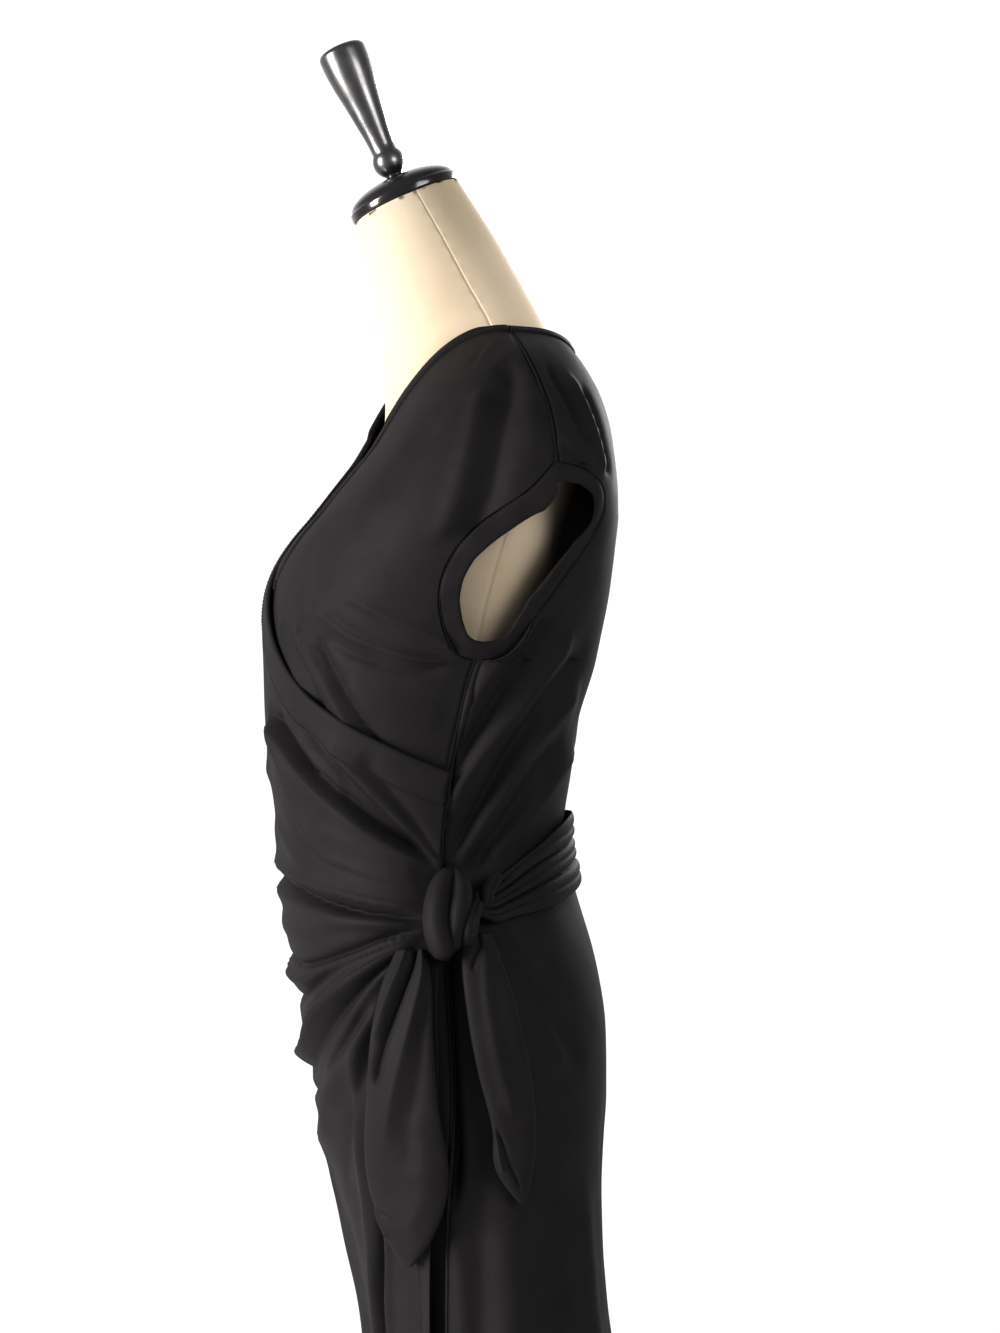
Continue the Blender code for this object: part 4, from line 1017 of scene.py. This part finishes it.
def make_knot():
    """The knot, as the strands of jersey that cross in it, each creased along its length."""
    for name, places, sizes, creases in STRANDS:
        mesh = bmesh.new()
        bmesh.ops.create_uvsphere(mesh, u_segments=56, v_segments=70, radius=1.0)
        mesh.verts.ensure_lookup_table()
        ball = np.array([vert.co for vert in mesh.verts])
        way = np.arccos(np.clip(ball[:, 2], -1, 1)) / math.pi
        turn = np.arctan2(ball[:, 1], ball[:, 0])
        rows = np.array(places, float)
        route = np.column_stack([np.linspace(0, 1, len(rows)), rows])
        level, angle, lift = smooth_columns(route, way)[:, 1:].T
        centre = lifted(angle, level, lift)
        ahead = smooth_columns(route, np.clip(way + 0.02, 0, 1))[:, 1:].T
        behind = smooth_columns(route, np.clip(way - 0.02, 0, 1))[:, 1:].T
        along = lifted(ahead[1], ahead[0], ahead[2]) - lifted(behind[1], behind[0], behind[2])
        along /= np.linalg.norm(along, axis=1)[:, None]
        out = ring_normals(DRESS_RINGS, angle, level)
        out -= along * (out * along).sum(1)[:, None]
        out /= np.linalg.norm(out, axis=1)[:, None]
        side = np.cross(along, out)
        _, half_width, half_depth = smooth_columns(sizes, way).T
        close = np.minimum(1, np.sin(way * math.pi) * 3.2) ** 0.7
        depth = half_depth * close
        for cut, width, first, last in creases:
            middle = math.radians(first) + math.radians(last - first) * way
            gap = (turn - middle + math.pi) % (2 * math.pi) - math.pi
            depth = depth - cut * close * np.exp(-(np.abs(gap / math.radians(width)) ** 1.4))
        points = centre + out * (np.cos(turn) * depth)[:, None]
        points = points + side * (np.sin(turn) * half_width * close)[:, None]
        for vert, place in zip(mesh.verts, points):
            vert.co = place
        bmesh.ops.recalc_face_normals(mesh, faces=mesh.faces)
        nodes = {"knot_outer_strand": ["knot_loop"], "knot_side_strand": ["knot_end"]}.get(name, ())
        piece = finished(name, mesh, JERSEY, nodes)


# ---- stitches


STITCH = (0.00115, 0.00034, 0.0003)  # half length, half width, half height
STITCH_STEP = 0.0034


def make_stitches():
    """Short raised stitches, all in one piece, along the bindings, the wrap's band and the skirt's edge."""
    stitch_size = Matrix.Diagonal((*STITCH, 1))
    runs = []
    edge = armhole_loop(240)
    for mirror in (1, -1):
        runs.append((moved_in(edge, -0.0012) * [mirror, 1], 0.0010, None))
    shares = np.linspace(0.015, 0.60, 700)
    width = surplice_band_width(shares)
    strip = edge_strip(path_points(SURPLICE, shares), width - 0.0014, -1, [1.0])[:, 0]
    runs.append((strip, 0.0029, over_front_lift))
    levels = np.linspace(0.405, 0.86, 500)
    free = rows_by_level(FREE_EDGE, levels)
    runs.append((free - [6.0, 0], 0.0010, over_front_lift))
    mesh = bmesh.new()
    for path, lift, lift_of in runs:
        angle, level = path[:, 0], path[:, 1]
        base = lift_of(angle, level) if lift_of else np.zeros(len(angle))
        points = lifted(angle, level, base + lift)
        normals = ring_normals(DRESS_RINGS, angle, level)
        lengths = np.concatenate([[0], np.cumsum(np.linalg.norm(np.diff(points, axis=0), axis=1))])
        for at in np.arange(0.002, lengths[-1] - 0.002, STITCH_STEP):
            index = min(int(np.searchsorted(lengths, at)), len(points) - 2)
            ahead = Vector(points[index + 1] - points[index]).normalized()
            out = Vector(normals[index])
            side = out.cross(ahead).normalized()
            turn = Matrix((ahead, side, out)).transposed().to_4x4()
            made = bmesh.ops.create_icosphere(mesh, subdivisions=1, radius=1.0)
            bmesh.ops.transform(
                mesh, verts=made["verts"],
                matrix=Matrix.Translation(Vector(points[index])) @ turn @ stitch_size,
            )
    finished("thread_stitches", mesh, THREAD)


# ---- the dress form


def make_torso():
    levels = np.concatenate([
        np.linspace(FORM_RINGS[0][0], 1.34, 60, endpoint=False),
        np.linspace(1.34, FORM_RINGS[-1][0] + 0.03, 84),
    ])
    close_turns = [np.linspace(seam - 3, seam + 3, 31) for seam in (90, 270)]
    turns = np.unique(np.concatenate([np.linspace(0, 360, 97), *close_turns]))
    angle, level = np.meshgrid(turns, levels)
    top = FORM_RINGS[-1][0]
    points = ring_points(FORM_RINGS, angle, np.minimum(level, top))
    lean = np.array([0, -math.sin(CAP_TILT), math.cos(CAP_TILT)])
    normals = ring_normals(FORM_RINGS, angle, np.minimum(level, top))
    seam = np.minimum(np.abs(angle - 90), np.abs(angle - 270))
    pull = 0.00035 * np.sin(level * 2 * math.pi / 0.013) * np.exp(-((seam / 2.4) ** 2))
    points += normals * (pull - 0.0006 * np.exp(-((seam / 0.55) ** 2)))[..., None]
    points += np.maximum(level - top, 0)[..., None] * lean
    mesh = laid_grid(points)
    bmesh.ops.remove_doubles(mesh, verts=mesh.verts, dist=1e-6)
    cut = Vector(CAP_CENTRE) - Vector(lean) * STAND_GAP
    everything = mesh.verts[:] + mesh.edges[:] + mesh.faces[:]
    bmesh.ops.bisect_plane(mesh, geom=everything, plane_co=cut, plane_no=lean, clear_outer=True)
    bmesh.ops.holes_fill(mesh, edges=[edge for edge in mesh.edges if edge.is_boundary])
    rims = [edge for edge in mesh.edges if max(len(face.verts) for face in edge.link_faces) > 40]
    bmesh.ops.bevel(mesh, geom=rims, offset=0.0012, segments=3, profile=0.5, affect="EDGES", material=-1)
    finished("form_cover", mesh, COVER, ["form_torso"])


def turned(name, profile, place, lean, material, nodes, steps=96):
    """A turned piece, spun from its profile, given as (radius, height) down its outer side."""
    mesh = bmesh.new()
    verts = [mesh.verts.new((radius, 0, height)) for radius, height in profile]
    edges = [mesh.edges.new(pair) for pair in zip(verts, verts[1:])]
    bmesh.ops.spin(
        mesh, geom=verts + edges, cent=(0, 0, 0), axis=(0, 0, 1), dvec=(0, 0, 0),
        angle=2 * math.pi, steps=steps, use_merge=True, use_duplicate=False,
    )
    bmesh.ops.remove_doubles(mesh, verts=mesh.verts, dist=1e-6)
    bmesh.ops.recalc_face_normals(mesh, faces=mesh.faces)
    bmesh.ops.transform(
        mesh, verts=mesh.verts, matrix=Matrix.Translation(place) @ Matrix.Rotation(lean, 4, "X")
    )
    return finished(name, mesh, material, nodes)


def arc(middle, radius, first, last, count):
    """(radius, height) points of a quarter or part circle in a profile."""
    turns = np.radians(np.linspace(first, last, count))
    return [(middle[0] + radius * math.sin(t), middle[1] + radius * math.cos(t)) for t in turns]


def smooth_profile(rows, count):
    """A turned profile drawn smoothly through a few (height, radius) rows from high to low."""
    table = [(-height, radius) for height, radius in rows]
    at = np.linspace(table[0][0], table[-1][0], count)
    return [(radius, -height) for height, radius in smooth_columns(table, at)]


def make_neck_cap():
    rim, dome = 0.007, 0.015
    profile = [(0.0, rim + dome)]
    profile += [
        (CAP_RADIUS * 0.965 * math.sin(math.radians(t)), rim + dome * math.cos(math.radians(t)))
        for t in range(5, 90, 5)
    ]
    profile += arc((CAP_RADIUS - 0.0016, rim - 0.0016), 0.0016, 20, 90, 5)
    profile += arc((CAP_RADIUS - 0.0009, 0.0009), 0.0009, 90, 180, 4)
    profile.append((0.0, 0.0))
    turned("neck_cap_lacquered", profile, CAP_CENTRE, CAP_TILT, GLOSS, ["neck_cap"])
    foot = rim + dome + STAND_GAP
    handle = smooth_profile((
        (0.1300, 0.0200), (0.1239, 0.0199), (0.1077, 0.0183), (0.0906, 0.0155), (0.0735, 0.0131),
        (0.0583, 0.0110), (0.0498, 0.0103),
    ), 40)
    crown = [(0.0, 0.1377), (0.006, 0.1376), (0.0105, 0.1372)] + arc((0.0150, 0.1322), 0.0050, 10, 85, 7)
    ball = arc((0.0, 0.0360), 0.0133, 50, 146, 13)
    base = [(0.0070, foot + 0.0008), (0.0068, foot), (0.0, foot)]
    finial = crown + handle + ball + base
    turned("finial_handle", finial, CAP_CENTRE, CAP_TILT, SATIN, ["finial"])


def make_stand():
    base = [(0.0, BASE_HEIGHT), (BASE_RADIUS - 0.02, BASE_HEIGHT)]
    base += arc((BASE_RADIUS - 0.003, BASE_HEIGHT - 0.003), 0.003, 0, 90, 6)
    base += arc((BASE_RADIUS - 0.0015, 0.0015), 0.0015, 90, 180, 4) + [(0.0, 0.0)]
    turned("stand_base", base, Vector(), 0, GLOSS, ["base_plate"], steps=128)
    foot = BASE_HEIGHT + STAND_GAP
    collar = [(0.0, foot + COLLAR_HEIGHT), (0.0150, foot + COLLAR_HEIGHT)]
    collar += arc((0.0160, foot + COLLAR_HEIGHT - 0.002), 0.002, 0, 90, 5)
    collar += smooth_profile((
        (foot + 0.024, 0.0200), (foot + 0.016, 0.0240), (foot + 0.008, 0.0320), (foot + 0.003, 0.0355),
    ), 14)
    collar += [(0.036, foot + 0.001), (0.036, foot), (0.0, foot)]
    turned("stand_collar", collar, Vector(), 0, GLOSS, ["base_collar"])
    low, high = foot + COLLAR_HEIGHT + STAND_GAP, FORM_RINGS[0][0] - STAND_GAP
    pole = [(0.0, high), (POLE_RADIUS - 0.0006, high), (POLE_RADIUS, high - 0.0006)]
    pole += [(POLE_RADIUS, high - 0.05 * step) for step in range(1, int((high - low) / 0.05))]
    pole += [(POLE_RADIUS, low + 0.0006), (POLE_RADIUS - 0.0006, low), (0.0, low)]
    turned("stand_pole", pole, Vector(), 0, STEEL, ["pole"], steps=64)


# ---- the room


# Soft lamps: name, place, aim, size (width, height), watts.
LAMPS = (
    ("key_softbox", (0.62, -2.4, 1.35), (0.0, -0.05, 1.05), (0.8, 1.7), 116),
    ("side_softbox", (2.3, 1.3, 2.0), (0.0, 0.05, 1.2), (1.2, 1.2), 34),
    ("back_softbox", (-2.1, 1.9, 2.1), (0.0, 0.05, 1.1), (1.2, 1.4), 62),
)


def make_room():
    mesh = bmesh.new()
    bmesh.ops.create_circle(mesh, cap_ends=True, radius=1.6, segments=96)
    data = bpy.data.meshes.new("floor")
    mesh.to_mesh(data)
    mesh.free()
    data.materials.append(plain("pale_floor", (0.86, 0.855, 0.85), 0.9))
    floor = bpy.data.objects.new("floor", data)
    bpy.context.scene.collection.objects.link(floor)
    world = bpy.data.worlds.new("soft_room")
    world.use_nodes = True
    nodes, links = world.node_tree.nodes, world.node_tree.links
    place = nodes.new("ShaderNodeTexCoord").outputs["Generated"]
    toward = nodes.new("ShaderNodeVectorMath")
    toward.operation = "DOT_PRODUCT"
    toward.inputs[1].default_value = (-0.978, 0.208, 0.0)
    links.new(place, toward.inputs[0])
    shade = nodes.new("ShaderNodeMapRange")
    shade.inputs["From Min"].default_value, shade.inputs["From Max"].default_value = 0.1, 0.8
    shade.inputs["To Min"].default_value, shade.inputs["To Max"].default_value = 0.42, 1.06
    links.new(toward.outputs["Value"], shade.inputs["Value"])
    links.new(shade.outputs["Result"], nodes["Background"].inputs["Strength"])
    nodes["Background"].inputs["Color"].default_value = (1.0, 0.995, 0.99, 1)
    bpy.context.scene.world = world
    for name, place, aim, size, power in LAMPS:
        lamp = bpy.data.lights.new(name, "AREA")
        lamp.shape, lamp.energy = "RECTANGLE", power
        lamp.size, lamp.size_y = size
        lamp.color = (1.0, 0.985, 0.975)
        light = bpy.data.objects.new(name, lamp)
        light.location = place
        light.rotation_euler = (Vector(aim) - Vector(place)).to_track_quat("-Z", "Y").to_euler()
        bpy.context.scene.collection.objects.link(light)


def make_camera():
    """Level with the waist's fold of the dress, at its left side and a little to the front."""
    aim, turn, distance = Vector((0.0, 0.051, 1.184)), math.radians(78.0), 1.7
    lens = bpy.data.cameras.new("camera")
    lens.sensor_width, lens.lens = 36.0, 54.0
    lens.clip_end = 60
    camera = bpy.data.objects.new("camera", lens)
    camera.location = aim + Vector((math.sin(turn), -math.cos(turn), 0)) * distance
    camera.rotation_euler = (aim - camera.location).to_track_quat("-Z", "Y").to_euler()
    bpy.context.scene.collection.objects.link(camera)
    bpy.context.scene.camera = camera
    bpy.context.scene.view_settings.view_transform = "Standard"
    bpy.context.scene.view_settings.gamma = 0.66


JERSEY = jersey("black_crepe_jersey", (0.0315, 0.0290, 0.0302), (0.0375, 0.0346, 0.0360), 0.62)
THREAD = jersey("black_thread", (0.030, 0.029, 0.030), (0.045, 0.043, 0.044), 0.55)
COVER = canvas("cream_canvas_cover")
GLOSS = lacquer("black_gloss_lacquer", 0.20, 0.6, 0.050, 0.080, 0.6)
SATIN = lacquer("black_satin_lacquer", 0.33, 0.6, 0.17, 0.24, 0.9)
STEEL = painted_steel("dark_steel")

make_camera()
make_fronts()
make_back()
make_neck_bands()
make_armhole_bands()
make_tie()
make_tails()
make_knot()
make_stitches()
make_torso()
make_neck_cap()
make_stand()
make_room()
